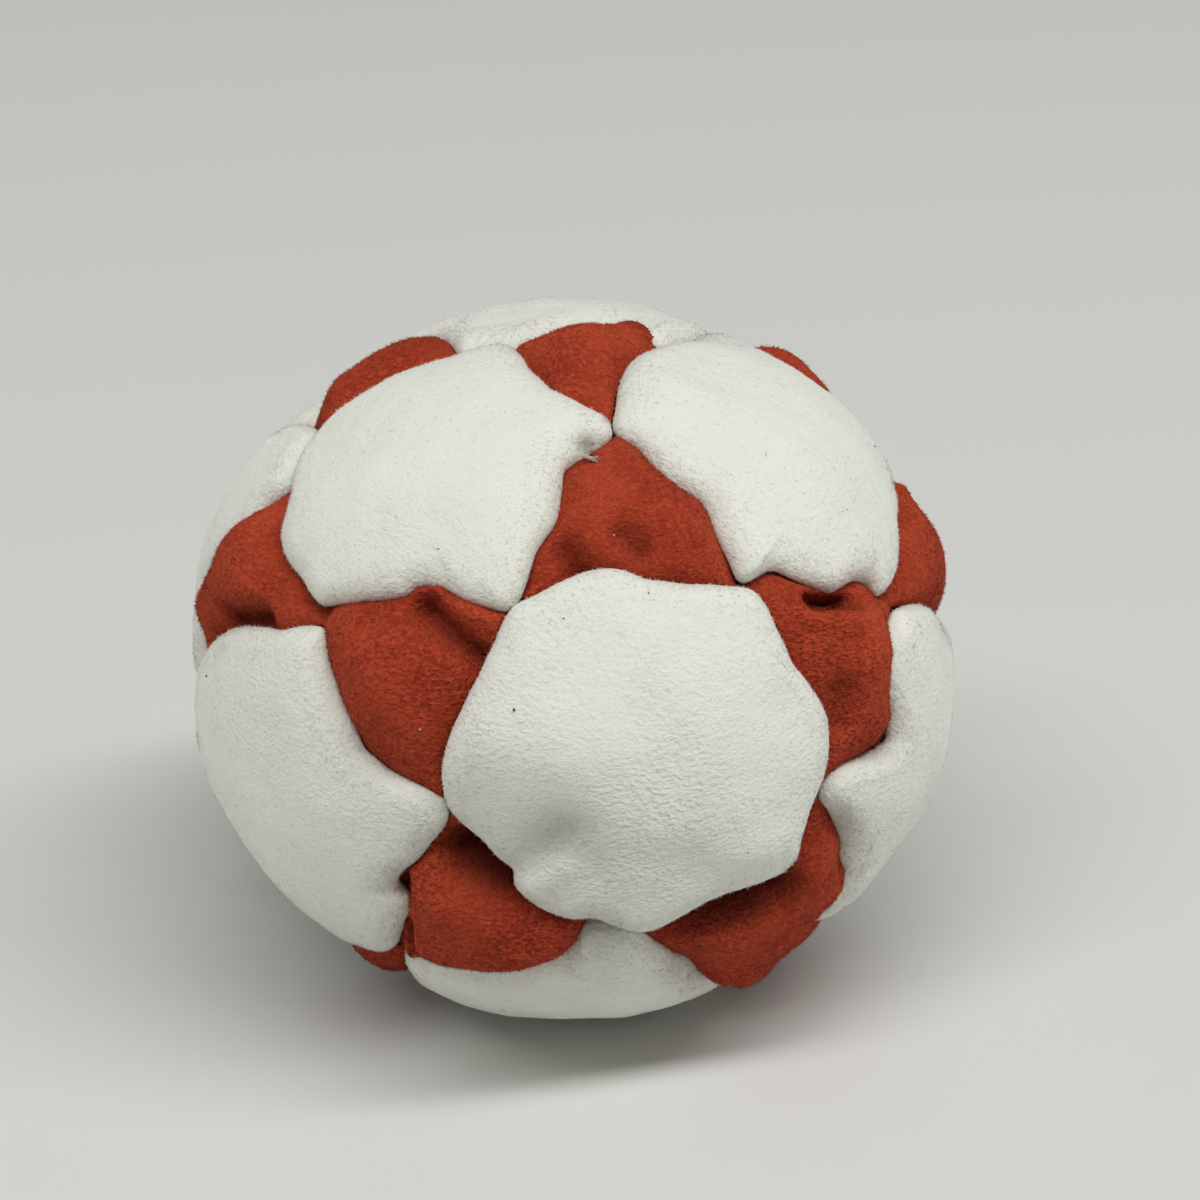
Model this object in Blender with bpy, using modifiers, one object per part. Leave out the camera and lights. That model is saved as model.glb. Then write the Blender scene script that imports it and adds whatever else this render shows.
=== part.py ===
"""A soft footbag: 12 white five-sided panels and 20 red three-sided panels of suede, sewn edge to edge
round a loose filling, resting on its pressed underside.

Metres, +Z up. The origin is at the middle of the underside, and the front faces -Y.
The panels follow an icosidodecahedron: a white panel on each of an icosahedron's 12 points, a red one on
each of its 20 faces, and a corner where two whites and two reds meet on each of its 30 edges.
The worn bag's corners and sides stray from that even pattern, and its red panels are dented, by the
tables of shares below.
Every piece is placed by a direction from the bag's middle and a height above its round outline, so that
neighbours follow the same seam lines, each drawn back by half the seam gap.
"""

import itertools
import math
from dataclasses import dataclass

import bmesh
import bpy
import numpy as np

# The bag as a whole
BAG_WIDTH = 0.0546
BAG_DEPTH = 0.0540
BAG_HEIGHT = 0.0501
PRESSED_DEPTH = 0.0016
PRESSED_EDGE = 0.0006

# How the white panel in front faces, in degrees
FRONT_TURN = 11.1
FRONT_TILT = 11.7
FRONT_TWIST = -32.1

# Suede panels
WHITE_THICKNESS = 0.0008
RED_THICKNESS = 0.0008
WHITE_CROWN = 0.0006
RED_CROWN = 0.0004
SEAM_DEPTH = 0.0015
WHITE_OVERHANG = 0.0008
CORNER_STRAY = 0.0010
SIDE_STRAY = 0.0010
DENT_DEPTH = 0.0018
DENT_WIDTH = 0.0022
CORNER_BLUNT = 0.0003
SEAM_GAP = 0.0003
SEAM_ALLOWANCE = 0.0018

# Seam threads, the closing knot and the filling
THREAD_DIAMETER = 0.0005
THREAD_CLEARANCE = 0.0003
KNOT_DIAMETER = 0.0009
KNOT_CLEARANCE = 0.0003
KNOT_ALONG = 0.0022
KNOT_ACROSS = 0.0012
TAIL_LENGTH = 0.0024
FILLING_CLEARANCE = 0.0003
SKIN_SLACK = 0.0006

# Counts and shares
RING_PANELS = 5
CLOSING_TRIO = (0, 1, 2)
CLOSING_CORNER = (1, 2)
SIDE_STEPS = 4
WHITE_RING_SHARES = (0.45, 0.75, 0.92, 1.0)
RED_RING_SHARES = (0.4, 0.68, 0.9, 1.0)
WHITE_ROUNDNESS = 2.8
RED_ROUNDNESS = 2.0
WHITE_EDGE_POWER = 0.5
RED_EDGE_POWER = 0.9
DENT_FADE_POWER = 3
FILLING_RING_SHARES = (0.5, 1.0)
WHITE_SHOULDER_SHARE = 0.87
RED_SHOULDER_SHARE = 0.65
KNOT_ALONG_SHARES = (-0.62, -0.34, -0.14, 0.0, 0.12, 0.26, 0.36)
KNOT_ACROSS_SHARES = (0.04, 0.02, 0.0, 0.0, 0.08, 0.3, 0.62)
KNOT_SWELL_SHARES = (0.0, 0.0, 0.6, 1.0, 0.6, 0.0, 0.0)

# Where four panels meet, by the two white ones: shares of CORNER_STRAY towards the second and across to the
# left of that
CORNER_STRAY_SHARES = {
    (0, 1): (-0.2, 0.2),
    (0, 2): (0.2, 1.0),
    (0, 3): (-0.1, 0.0),
    (0, 4): (-0.6, -1.5),
    (0, 5): (-0.6, -0.5),
    (1, 2): (-0.6, -1.0),
    (1, 5): (-1.2, 1.5),
    (1, 6): (-1.2, -1.5),
    (1, 10): (-1.0, -1.0),
    (2, 3): (-1.4, -1.8),
    (2, 6): (0.6, -1.5),
    (2, 7): (0.8, 0.0),
    (3, 4): (0.6, 1.5),
    (4, 5): (-0.1, 0.8),
    (5, 10): (0.2, 0.6),
}

# A white panel's side, by that panel and the two others at its red neighbour: shares of SIDE_STRAY away from
# the white panel at SIDE_PLACE_SHARES of the way from the first of the two to the second
SIDE_PLACE_SHARES = (0.25, 0.5, 0.75)
SIDE_STRAY_SHARES = {
    (0, 1, 2): (1.0, 0.1, -0.4),
    (0, 1, 5): (-0.2, 0.0, 0.2),
    (0, 2, 3): (-0.1, 0.7, 1.0),
    (0, 3, 4): (1.5, 1.9, 1.7),
    (0, 4, 5): (1.2, 0.2, 0.3),
    (1, 0, 2): (-0.7, -1.4, -0.8),
    (1, 0, 5): (-1.2, -1.3, -1.1),
    (1, 2, 6): (-0.6, -0.3, 0.8),
    (1, 5, 10): (0.4, 1.2, 0.5),
    (1, 6, 10): (-0.4, -0.1, 0.3),
    (2, 0, 1): (-0.9, -1.1, -0.5),
    (2, 0, 3): (-1.0, -0.8, -1.0),
    (2, 1, 6): (1.0, 0.1, -0.4),
    (2, 3, 7): (-1.0, -0.2, 1.2),
    (2, 6, 7): (0.8, 0.2, -0.5),
    (3, 0, 2): (-2.0, -3.0, -1.8),
    (3, 0, 4): (-1.8, -2.6, -2.4),
    (3, 2, 7): (-0.3, -0.2, 0.3),
    (4, 0, 3): (-0.6, -1.8, -2.0),
    (4, 0, 5): (-1.6, -2.3, -0.8),
    (5, 0, 1): (-2.4, -2.4, -1.2),
    (5, 0, 4): (-0.6, -1.5, -0.7),
    (5, 1, 10): (0.0, 0.7, 0.8),
    (5, 4, 9): (0.5, 1.2, 0.2),
    (6, 1, 2): (1.0, 0.5, 1.0),
    (10, 1, 5): (0.5, 0.6, 0.2),
    (10, 1, 6): (-1.0, -1.6, -0.5),
}

# How far what the photograph doesn't show may stray, as a share of the strays above
HIDDEN_STRAY_SHARE = 0.5

# Dents and swells of the red panels: the three white panels round one, the place as shares of their middles,
# and a share of DENT_DEPTH
RED_DENT_SHARES = (
    ((0, 1, 5), (0.38, 0.48, 0.14), -0.9),
    ((0, 1, 5), (0.46, 0.38, 0.16), -0.9),
    ((0, 4, 5), (0.48, 0.17, 0.35), -1.0),
    ((0, 4, 5), (0.28, 0.43, 0.29), 0.7),
    ((0, 2, 3), (0.35, 0.48, 0.17), -1.0),
    ((1, 5, 10), (0.35, 0.45, 0.20), -0.6),
    ((1, 5, 10), (0.35, 0.30, 0.35), 0.5),
    ((0, 3, 4), (0.46, 0.25, 0.29), -0.9),
    ((0, 3, 4), (0.25, 0.30, 0.45), 0.8),
    ((0, 1, 2), (0.42, 0.42, 0.16), -0.5),
    ((0, 1, 2), (0.40, 0.31, 0.29), -0.4),
    ((2, 3, 7), (0.46, 0.25, 0.29), 0.5),
    ((1, 6, 10), (0.56, 0.14, 0.30), -0.7),
    ((2, 6, 7), (0.34, 0.33, 0.33), 0.5),
)

HALF_SIZES = np.array([BAG_WIDTH, BAG_DEPTH, BAG_HEIGHT]) / 2
CENTRE_HEIGHT = BAG_HEIGHT / 2 - PRESSED_DEPTH
STITCH_LEVEL = -SEAM_DEPTH - SEAM_ALLOWANCE
THREAD_LEVEL = STITCH_LEVEL - THREAD_CLEARANCE - THREAD_DIAMETER / 2
GROOVE_LEVEL = THREAD_LEVEL - THREAD_DIAMETER / 2 - FILLING_CLEARANCE
NEIGHBOUR_ANGLE = math.atan(2.0)


def clear_scene():
    for obj in list(bpy.data.objects):
        bpy.data.objects.remove(obj)


def collection_named(name):
    collection = bpy.data.collections.new(name)
    bpy.context.scene.collection.children.link(collection)
    return collection


def material_named(name, colour, roughness):
    material = bpy.data.materials.new(name)
    material.use_nodes = True
    shader = material.node_tree.nodes["Principled BSDF"]
    shader.inputs["Base Color"].default_value = (*colour, 1.0)
    shader.inputs["Roughness"].default_value = roughness
    shader.inputs["Metallic"].default_value = 0.0
    return material


def unit(vectors):
    return vectors / np.linalg.norm(vectors, axis=-1, keepdims=True)


def turned_to_front(direction):
    """Tilts a direction about X and then turns it about Z, as the white panel in front is turned."""
    tilt, turn = math.radians(-FRONT_TILT), math.radians(FRONT_TURN)
    x, y, z = direction
    y, z = y * math.cos(tilt) - z * math.sin(tilt), y * math.sin(tilt) + z * math.cos(tilt)
    x, y = x * math.cos(turn) - y * math.sin(turn), x * math.sin(turn) + y * math.cos(turn)
    return np.array([x, y, z])


def white_centres():
    """The 12 points of an icosahedron: the front, the ring round it, the ring behind and the back."""
    centres = [turned_to_front((0.0, -1.0, 0.0))]
    ring_step = 360 / RING_PANELS
    for polar, start in ((NEIGHBOUR_ANGLE, 0), (math.pi - NEIGHBOUR_ANGLE, ring_step / 2)):
        for step in range(RING_PANELS):
            around = math.radians(FRONT_TWIST + start + ring_step * step)
            side = math.sin(polar) * math.sin(around)
            top = math.sin(polar) * math.cos(around)
            centres.append(turned_to_front((side, -math.cos(polar), top)))
    centres.append(turned_to_front((0.0, 1.0, 0.0)))
    return np.array(centres)


def neighbours(centres, one, other):
    """True where two white panels meet at a corner: only those face the same half of the bag."""
    return one != other and centres[one] @ centres[other] > 0


def order_round(middle, corners):
    """The order of the corners about the middle, anticlockwise as seen from outside."""
    first = unit(corners[0] - (corners[0] @ middle) * middle)
    second = np.cross(middle, first)
    return np.argsort(np.arctan2(corners @ second, corners @ first))


def surface_points(directions, height, floor=0.0):
    """Points at a height above the bag's round outline, pressed up where they would pass the floor.

    The press leaves heights above PRESSED_EDGE as they are, takes those below -PRESSED_EDGE to the floor and
    joins the two with a parabola."""
    on_outline = directions * HALF_SIZES
    outward = unit(directions / HALF_SIZES)
    points = on_outline + outward * np.asarray(height)[..., None]
    rise = points[..., 2] + CENTRE_HEIGHT - floor
    blended = (rise + PRESSED_EDGE) ** 2 / (4 * PRESSED_EDGE)
    pressed = np.where(rise > PRESSED_EDGE, rise, np.where(rise < -PRESSED_EDGE, 0.0, blended))
    points[..., 2] = pressed + floor
    return points


def angle_of(length, level=0.0):
    """The angle at the bag's middle that a length along the skin takes, at a level above the outline."""
    return length / (HALF_SIZES.min() + level)


@dataclass
class Panel:
    """A panel: its middle, its corners in order, the two white panels at each, and the look of its kind."""

    name: str
    middle: np.ndarray
    corners: np.ndarray
    pairs: list
    look: dict


def hidden_shares(key, count):
    """Shares for a corner or a side that the photograph doesn't show, drawn from the key as their seed."""
    return np.random.default_rng(key).uniform(-HIDDEN_STRAY_SHARE, HIDDEN_STRAY_SHARE, count)


def corner_direction(centres, pair):
    """Where the corner of two white panels lies: halfway between their middles, and off by its stray."""
    one, other = key = tuple(sorted(pair))
    even = unit(centres[one] + centres[other])
    towards = unit(centres[other] - (centres[other] @ even) * even)
    left = np.cross(even, towards)
    ahead, aside = CORNER_STRAY_SHARES.get(key, hidden_shares(key, 2))
    return unit(even + math.tan(angle_of(CORNER_STRAY)) * (ahead * towards + aside * left))


def side_stray(start, end, shares):
    """How far a side strays from its white panel, at shares of the way from its start pair to its end."""
    white, = start & end
    first, = start - end
    last, = end - start
    if first > last:
        return side_stray(end, start, 1 - shares)
    key = (white, first, last)
    stray_shares = SIDE_STRAY_SHARES.get(key, hidden_shares(key, len(SIDE_PLACE_SHARES)))
    return SIDE_STRAY * np.interp(shares, (0.0, *SIDE_PLACE_SHARES, 1.0), (0.0, *stray_shares, 0.0))


def side_directions(panel, side, shares, shift):
    """Directions along a panel's side, at shares of the way: off by its stray and by shift outwards."""
    after = (side + 1) % len(panel.corners)
    start, end = panel.corners[side], panel.corners[after]
    outward = unit(np.cross(end, start))
    along = unit(start + shares[:, None] * (end - start))
    stray = panel.look["stray_way"] * side_stray(panel.pairs[side], panel.pairs[after], shares)
    return unit(along + outward * np.tan(shift + angle_of(stray))[:, None])


def rim_directions(panel, bow, inset, blunt, level=0.0):
    """Directions round a panel's edge, SIDE_STEPS a side, each side starting at its corner.

    A side is bowed outwards by bow at its middle and drawn in by inset. A corner is drawn towards the
    panel's middle by as much as its two sides are, and by blunt."""
    count = len(panel.corners)
    half_corner = math.radians(90 - 180 / count)
    shares = np.arange(1, SIDE_STEPS) / SIDE_STEPS
    shift = angle_of(4 * shares * (1 - shares) * bow - inset, level)
    drawn_in = angle_of(inset / math.sin(half_corner) + blunt, level)
    rim = []
    for side, corner in enumerate(panel.corners):
        inward = unit(panel.middle - (panel.middle @ corner) * corner)
        rim.append(unit(corner + inward * math.tan(drawn_in)))
        rim.extend(side_directions(panel, side, shares, shift))
    return np.array(rim)


def visible_rim(panel):
    """Directions of a panel's edge where it rolls over into the seam."""
    return rim_directions(panel, panel.look["bow"], SEAM_GAP / 2, CORNER_BLUNT)


def between(middle, rim, share):
    """Directions a share of the way from a panel's middle to its rim."""
    return unit(middle * (1 - share) + rim * share)


def skin_height(panel, directions, share):
    """A pillow's height, at a share of the way to the rim: the crown in the middle, rolling over to the seam
    at the rim, with the panel's dents and swells fading towards the rim."""
    look = panel.look
    share = np.asarray(share, float)
    swell = np.maximum(1 - share ** look["roundness"], 0.0) ** look["edge_power"]
    height = -SEAM_DEPTH + (look["crown"] + SEAM_DEPTH) * swell
    for place, dent_share in look["dents"].get(frozenset().union(*panel.pairs), ()):
        off = np.arccos(np.clip(directions @ place, -1, 1)) / angle_of(DENT_WIDTH)
        height = height + DENT_DEPTH * dent_share * np.exp(-(off**2)) * (1 - share**DENT_FADE_POWER)
    return height


def lofted(pole, rings):
    """A fan from the pole to the first ring, and a band of quads from each ring to the next."""
    around = len(rings[0])
    points = [pole] + [point for ring in rings for point in ring]
    faces = []
    for step in range(around):
        faces.append((0, 1 + step, 1 + (step + 1) % around))
    for band in range(len(rings) - 1):
        near, far = 1 + band * around, 1 + (band + 1) * around
        for step in range(around):
            after = (step + 1) % around
            faces.append((near + step, far + step, far + after, near + after))
    return points, faces


def object_from(name, points, faces, material, collection):
    mesh = bpy.data.meshes.new(name)
    mesh.from_pydata([tuple(point) for point in points], [], faces)
    mesh.materials.append(material)
    mesh.shade_smooth()
    obj = bpy.data.objects.new(name, mesh)
    collection.objects.link(obj)
    return obj


def add_panel(panel, material, collection):
    """One suede panel: a crowned skin whose edges roll over and turn in as a seam allowance."""
    rim = visible_rim(panel)
    stitched_rim = rim_directions(panel, 0.0, SEAM_GAP / 2, CORNER_BLUNT, STITCH_LEVEL)
    rings = []
    for share in panel.look["rings"]:
        directions = between(panel.middle, rim, share)
        rings.append(surface_points(directions, skin_height(panel, directions, share)))
    rings.append(surface_points(stitched_rim, STITCH_LEVEL))
    pole = surface_points(panel.middle, skin_height(panel, panel.middle, 0.0))
    points, faces = lofted(pole, rings)
    suede = object_from(panel.name, points, faces, material, collection)
    thickness = suede.modifiers.new("suede", "SOLIDIFY")
    thickness.thickness = panel.look["thickness"]
    thickness.offset = -1.0
    thickness.use_even_offset = False
    thickness.use_rim = True


def add_tube(name, points, swells, thickness, closed, material, collection):
    """A thread: a straight-run curve with a round section, thicker where a swell says so."""
    curve = bpy.data.curves.new(name, "CURVE")
    curve.dimensions = "3D"
    curve.bevel_depth = thickness / 2
    curve.bevel_resolution = 1
    curve.use_fill_caps = not closed
    spline = curve.splines.new("POLY")
    spline.points.add(len(points) - 1)
    for point, place, swell in zip(spline.points, points, swells):
        point.co = (*place, 1.0)
        point.radius = swell
    spline.use_cyclic_u = closed
    curve.materials.append(material)
    obj = bpy.data.objects.new(name, curve)
    collection.objects.link(obj)
    return obj


def add_seam_thread(name, panel, material, collection):
    """The thread that binds a white panel's turned-in edge: it runs along the allowance's inner end."""
    inset = SEAM_GAP / 2 + WHITE_THICKNESS / 2
    rim = rim_directions(panel, 0.0, inset, CORNER_BLUNT, THREAD_LEVEL)
    points = surface_points(rim, THREAD_LEVEL)
    return add_tube(name, points, [1.0] * len(points), THREAD_DIAMETER, True, material, collection)


def add_closing_knot(name, red, side, material, collection):
    """The knot where the last seam was closed, beside a red panel's side just past the corner it starts at.

    Its thread lies in the valley, swells to the knot and ends over the red panel. Each place is a length
    along the seam and one across it, and rides a clearance above the red skin."""
    along = KNOT_ALONG + np.array(KNOT_ALONG_SHARES) * TAIL_LENGTH
    across = KNOT_ACROSS + np.array(KNOT_ACROSS_SHARES) * TAIL_LENGTH
    swell = np.array(KNOT_SWELL_SHARES)
    start, end = red.corners[side], red.corners[(side + 1) % len(red.corners)]
    shares = angle_of(along) / math.acos(float(start @ end))
    seam = side_directions(red, side, shares, 0.0)
    directions = side_directions(red, side, shares, -angle_of(across))
    reach_shares = 1 - angle_of(across) / np.arccos(seam @ red.middle)
    radius = THREAD_DIAMETER / 2 + swell * (KNOT_DIAMETER - THREAD_DIAMETER) / 2
    levels = skin_height(red, directions, reach_shares) + KNOT_CLEARANCE + radius
    swells = 1 + swell * (KNOT_DIAMETER / THREAD_DIAMETER - 1)
    points = surface_points(directions, levels)
    return add_tube(name, points, swells, THREAD_DIAMETER, False, material, collection)


def filling_patch(panel):
    """The filling under one panel: a pillow below the skin, a shoulder and the groove below the seam."""
    look = panel.look
    clear = SEAM_GAP / 2 + look["thickness"] + FILLING_CLEARANCE
    below_skin = look["thickness"] + SKIN_SLACK
    seam = rim_directions(panel, 0.0, 0.0, 0.0)
    across_sides = unit(np.cross(seam, np.roll(seam, -1, axis=0)))
    nearest_side = np.arcsin(np.abs(across_sides @ panel.middle)).min()
    floor_share = 1 - angle_of(clear, GROOVE_LEVEL) / nearest_side
    floor_rim = between(panel.middle, seam, floor_share)
    shoulder_rim = between(panel.middle, seam, floor_share * look["shoulder_share"])
    shoulder_shares = np.arccos(shoulder_rim @ panel.middle) / np.arccos(visible_rim(panel) @ panel.middle)
    rings = []
    for share in FILLING_RING_SHARES:
        directions = between(panel.middle, shoulder_rim, share)
        level = skin_height(panel, directions, share * shoulder_shares) - below_skin
        rings.append(surface_points(directions, level, below_skin))
    rings.append(surface_points(floor_rim, GROOVE_LEVEL, below_skin))
    rings.append(surface_points(seam, GROOVE_LEVEL, below_skin))
    pole = surface_points(panel.middle, skin_height(panel, panel.middle, 0.0) - below_skin, below_skin)
    return lofted(pole, rings)


def add_filling(name, panels, material, collection):
    """The filling as one closed body, its patches joined along the bottoms of the seam grooves."""
    points, faces = [], []
    for panel in panels:
        patch_points, patch_faces = filling_patch(panel)
        first = len(points)
        points.extend(patch_points)
        faces.extend(tuple(first + corner for corner in face) for face in patch_faces)
    filling = object_from(name, points, faces, material, collection)
    mesh = bmesh.new()
    mesh.from_mesh(filling.data)
    bmesh.ops.remove_doubles(mesh, verts=mesh.verts, dist=SEAM_GAP / 100)
    mesh.to_mesh(filling.data)
    mesh.free()
    return filling


def panel_between(name, rough_middle, centres, pairs, look):
    """A panel with a corner at each pair of white panels, and its middle at the mean of its edge."""
    corners = np.array([corner_direction(centres, pair) for pair in pairs])
    order = order_round(rough_middle, corners)
    panel = Panel(name, rough_middle, corners[order], [pairs[place] for place in order], look)
    panel.middle = unit(rim_directions(panel, 0.0, 0.0, 0.0).mean(axis=0))
    return panel


def red_dents(centres):
    """The places and shares of each red panel's dents, by the three white panels round it."""
    dents = {}
    for whites, place_shares, dent_share in RED_DENT_SHARES:
        place = unit(np.array(place_shares) @ centres[list(whites)])
        dents.setdefault(frozenset(whites), []).append((place, dent_share))
    return dents


def main():
    clear_scene()
    footbag = collection_named("footbag")
    white_suede = material_named("white_suede", (0.80, 0.78, 0.75), 0.95)
    red_suede = material_named("red_suede", (0.42, 0.09, 0.05), 0.95)
    thread = material_named("thread", (0.70, 0.68, 0.62), 0.80)
    sand = material_named("sand", (0.62, 0.52, 0.38), 0.90)

    centres = white_centres()
    count = len(centres)
    white = {
        "bow": WHITE_OVERHANG,
        "stray_way": 1.0,
        "crown": WHITE_CROWN,
        "roundness": WHITE_ROUNDNESS,
        "edge_power": WHITE_EDGE_POWER,
        "rings": WHITE_RING_SHARES,
        "shoulder_share": WHITE_SHOULDER_SHARE,
        "thickness": WHITE_THICKNESS,
        "dents": {},
    }
    red = {
        "bow": -WHITE_OVERHANG,
        "stray_way": -1.0,
        "crown": RED_CROWN,
        "roundness": RED_ROUNDNESS,
        "edge_power": RED_EDGE_POWER,
        "rings": RED_RING_SHARES,
        "shoulder_share": RED_SHOULDER_SHARE,
        "thickness": RED_THICKNESS,
        "dents": red_dents(centres),
    }

    panels = []
    for one in range(count):
        pairs = [frozenset((one, other)) for other in range(count) if neighbours(centres, one, other)]
        panel = panel_between(f"white_panel_{one + 1:02d}", centres[one], centres, pairs, white)
        panels.append(panel)
        add_panel(panel, white_suede, footbag)
        add_seam_thread(f"seam_thread_{one + 1:02d}", panel, thread, footbag)

    reds = 0
    for trio in itertools.combinations(range(count), 3):
        pairs = [frozenset(pair) for pair in itertools.combinations(trio, 2)]
        if not all(neighbours(centres, *pair) for pair in pairs):
            continue
        reds += 1
        rough_middle = unit(centres[list(trio)].sum(axis=0))
        panel = panel_between(f"red_panel_{reds:02d}", rough_middle, centres, pairs, red)
        panels.append(panel)
        add_panel(panel, red_suede, footbag)
        if trio == CLOSING_TRIO:
            closing_side = panel.pairs.index(frozenset(CLOSING_CORNER))
            add_closing_knot("closing_knot", panel, closing_side, thread, footbag)

    add_filling("sand_filling", panels, sand, footbag)


main()
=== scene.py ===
"""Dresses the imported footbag: 12 white and 20 red suede panels with their rolled edges, folds and nap, the
seam threads, the closing knot, the filling and a plain stage. Metres, +Z up, the front towards -Y.

A place on the bag is a direction from its middle and a level above its round outline. A panel is worked
out in polar form about its middle: an angle round it and a reach along the skin.
"""

import math

import bpy
import numpy as np
from bpy.props import FloatProperty, FloatVectorProperty, IntProperty, PointerProperty
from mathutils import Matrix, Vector


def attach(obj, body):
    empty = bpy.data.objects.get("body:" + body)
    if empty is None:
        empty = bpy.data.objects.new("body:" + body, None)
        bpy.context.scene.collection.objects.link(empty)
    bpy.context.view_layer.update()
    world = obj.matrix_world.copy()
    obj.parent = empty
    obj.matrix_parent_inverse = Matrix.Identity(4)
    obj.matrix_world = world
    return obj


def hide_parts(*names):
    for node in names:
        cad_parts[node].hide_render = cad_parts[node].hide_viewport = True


bl_info = {
    "name": "Sewn suede footbag",
    "version": (1, 0, 0),
    "blender": (4, 5, 0),
    "location": "View3D > Sidebar > Footbag",
    "description": "Dresses a sewn footbag with suede panels, threads, filling and a stage",
    "category": "Add Mesh",
}

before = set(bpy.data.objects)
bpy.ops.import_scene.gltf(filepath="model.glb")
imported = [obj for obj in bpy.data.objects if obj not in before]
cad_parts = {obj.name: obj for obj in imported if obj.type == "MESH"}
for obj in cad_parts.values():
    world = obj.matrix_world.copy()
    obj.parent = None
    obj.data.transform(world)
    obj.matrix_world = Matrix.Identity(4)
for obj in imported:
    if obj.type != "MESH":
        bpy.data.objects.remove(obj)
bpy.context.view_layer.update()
MM = 0.001

# The bag's round outline, before its underside is pressed, and where its middle lies
HALF_SIZES = np.array([27.3, 27.0, 25.05]) * MM
PRESSED_DEPTH = 1.6 * MM
PRESSED_EDGE = 0.6 * MM
BAG_MIDDLE = np.array([0.0, 0.0, HALF_SIZES[2] - PRESSED_DEPTH])
SKIN_RADIUS = 26.4 * MM

# The photograph's frame and the camera that took it
PHOTO_PIXELS = 1200
FOCAL_PIXELS = 3366
BAG_MIDDLE_PIXEL = (571, 655)
CAMERA_DISTANCE = 243 * MM
CAMERA_ELEVATION = math.radians(26)
SENSOR_WIDTH = 36.0

# The white panels' outlines as they show in the photograph, each point a pixel
WHITE_OUTLINE_PIXELS = {
    "white_panel_01": (
        (515, 603), (531, 597), (548, 588), (570, 577), (590, 569), (614, 566), (634, 571), (649, 579),
        (690, 585), (730, 588), (756, 591), (771, 610), (779, 632), (794, 668), (815, 696), (828, 722),
        (828, 756), (823, 783), (807, 811), (797, 835), (796, 855), (784, 870), (757, 884), (727, 893),
        (707, 901), (677, 920), (657, 928), (643, 931), (625, 928), (599, 916), (577, 922), (550, 915),
        (530, 903), (516, 891), (522, 880), (502, 867), (487, 849), (466, 834), (447, 814), (442, 779),
        (449, 744), (462, 712), (478, 677), (493, 645), (504, 618),
    ),
    "white_panel_02": (
        (320, 428), (342, 408), (378, 388), (412, 370), (444, 356), (478, 342), (500, 341), (519, 361),
        (546, 380), (582, 394), (608, 406), (613, 423), (597, 438), (583, 446), (566, 459), (565, 487),
        (561, 516), (546, 537), (537, 552), (529, 577), (521, 598), (507, 614), (495, 611), (478, 607),
        (463, 604), (453, 597), (445, 592), (432, 590), (414, 589), (406, 592), (401, 598), (380, 600),
        (356, 600), (325, 599), (309, 600), (293, 571), (276, 531), (284, 508), (290, 491), (298, 460),
    ),
    "white_panel_03": (
        (609, 413), (615, 392), (622, 366), (637, 347), (662, 340), (700, 337), (742, 332), (776, 335),
        (803, 354), (830, 381), (851, 402), (866, 420), (883, 438), (890, 456), (895, 478), (901, 512),
        (908, 545), (903, 578), (892, 594), (882, 579), (867, 579), (855, 588), (845, 595), (822, 588),
        (802, 581), (785, 573), (770, 573), (757, 585), (744, 588), (731, 560), (714, 533), (705, 509),
        (693, 494), (676, 484), (662, 474), (649, 459), (634, 436), (616, 425),
    ),
    "white_panel_06": (
        (206, 640), (222, 628), (239, 625), (268, 626), (290, 619), (315, 619), (318, 651), (339, 698),
        (362, 748), (390, 774), (418, 789), (448, 809), (450, 829), (443, 842), (432, 854), (425, 865),
        (416, 876), (403, 884), (394, 893), (393, 902), (400, 908), (407, 915), (403, 925), (393, 936),
        (386, 949), (368, 957), (345, 950),
    ),
    "white_panel_04": (
        (822, 946), (840, 932), (850, 908), (849, 884), (842, 857), (838, 838), (831, 820), (820, 807),
        (824, 790), (834, 775), (866, 758), (886, 750), (899, 736), (897, 707), (889, 682), (885, 660),
        (888, 640), (899, 618), (907, 600), (930, 596),
    ),
    "white_panel_07": (
        (440, 337), (447, 348), (480, 341), (507, 343), (531, 335), (560, 327), (590, 320), (616, 320),
        (640, 329), (667, 342), (690, 339), (720, 333),
    ),
    "white_panel_05": (
        (418, 962), (430, 960), (456, 963), (511, 963), (540, 957), (560, 950), (574, 941), (581, 928),
        (600, 920), (644, 934), (663, 945), (689, 961), (713, 976), (743, 989),
    ),
    "white_panel_11": (
        (318, 428), (298, 455), (284, 480), (262, 499),
    ),
}
CLOSED_OUTLINES = ("white_panel_01", "white_panel_02", "white_panel_03")

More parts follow.
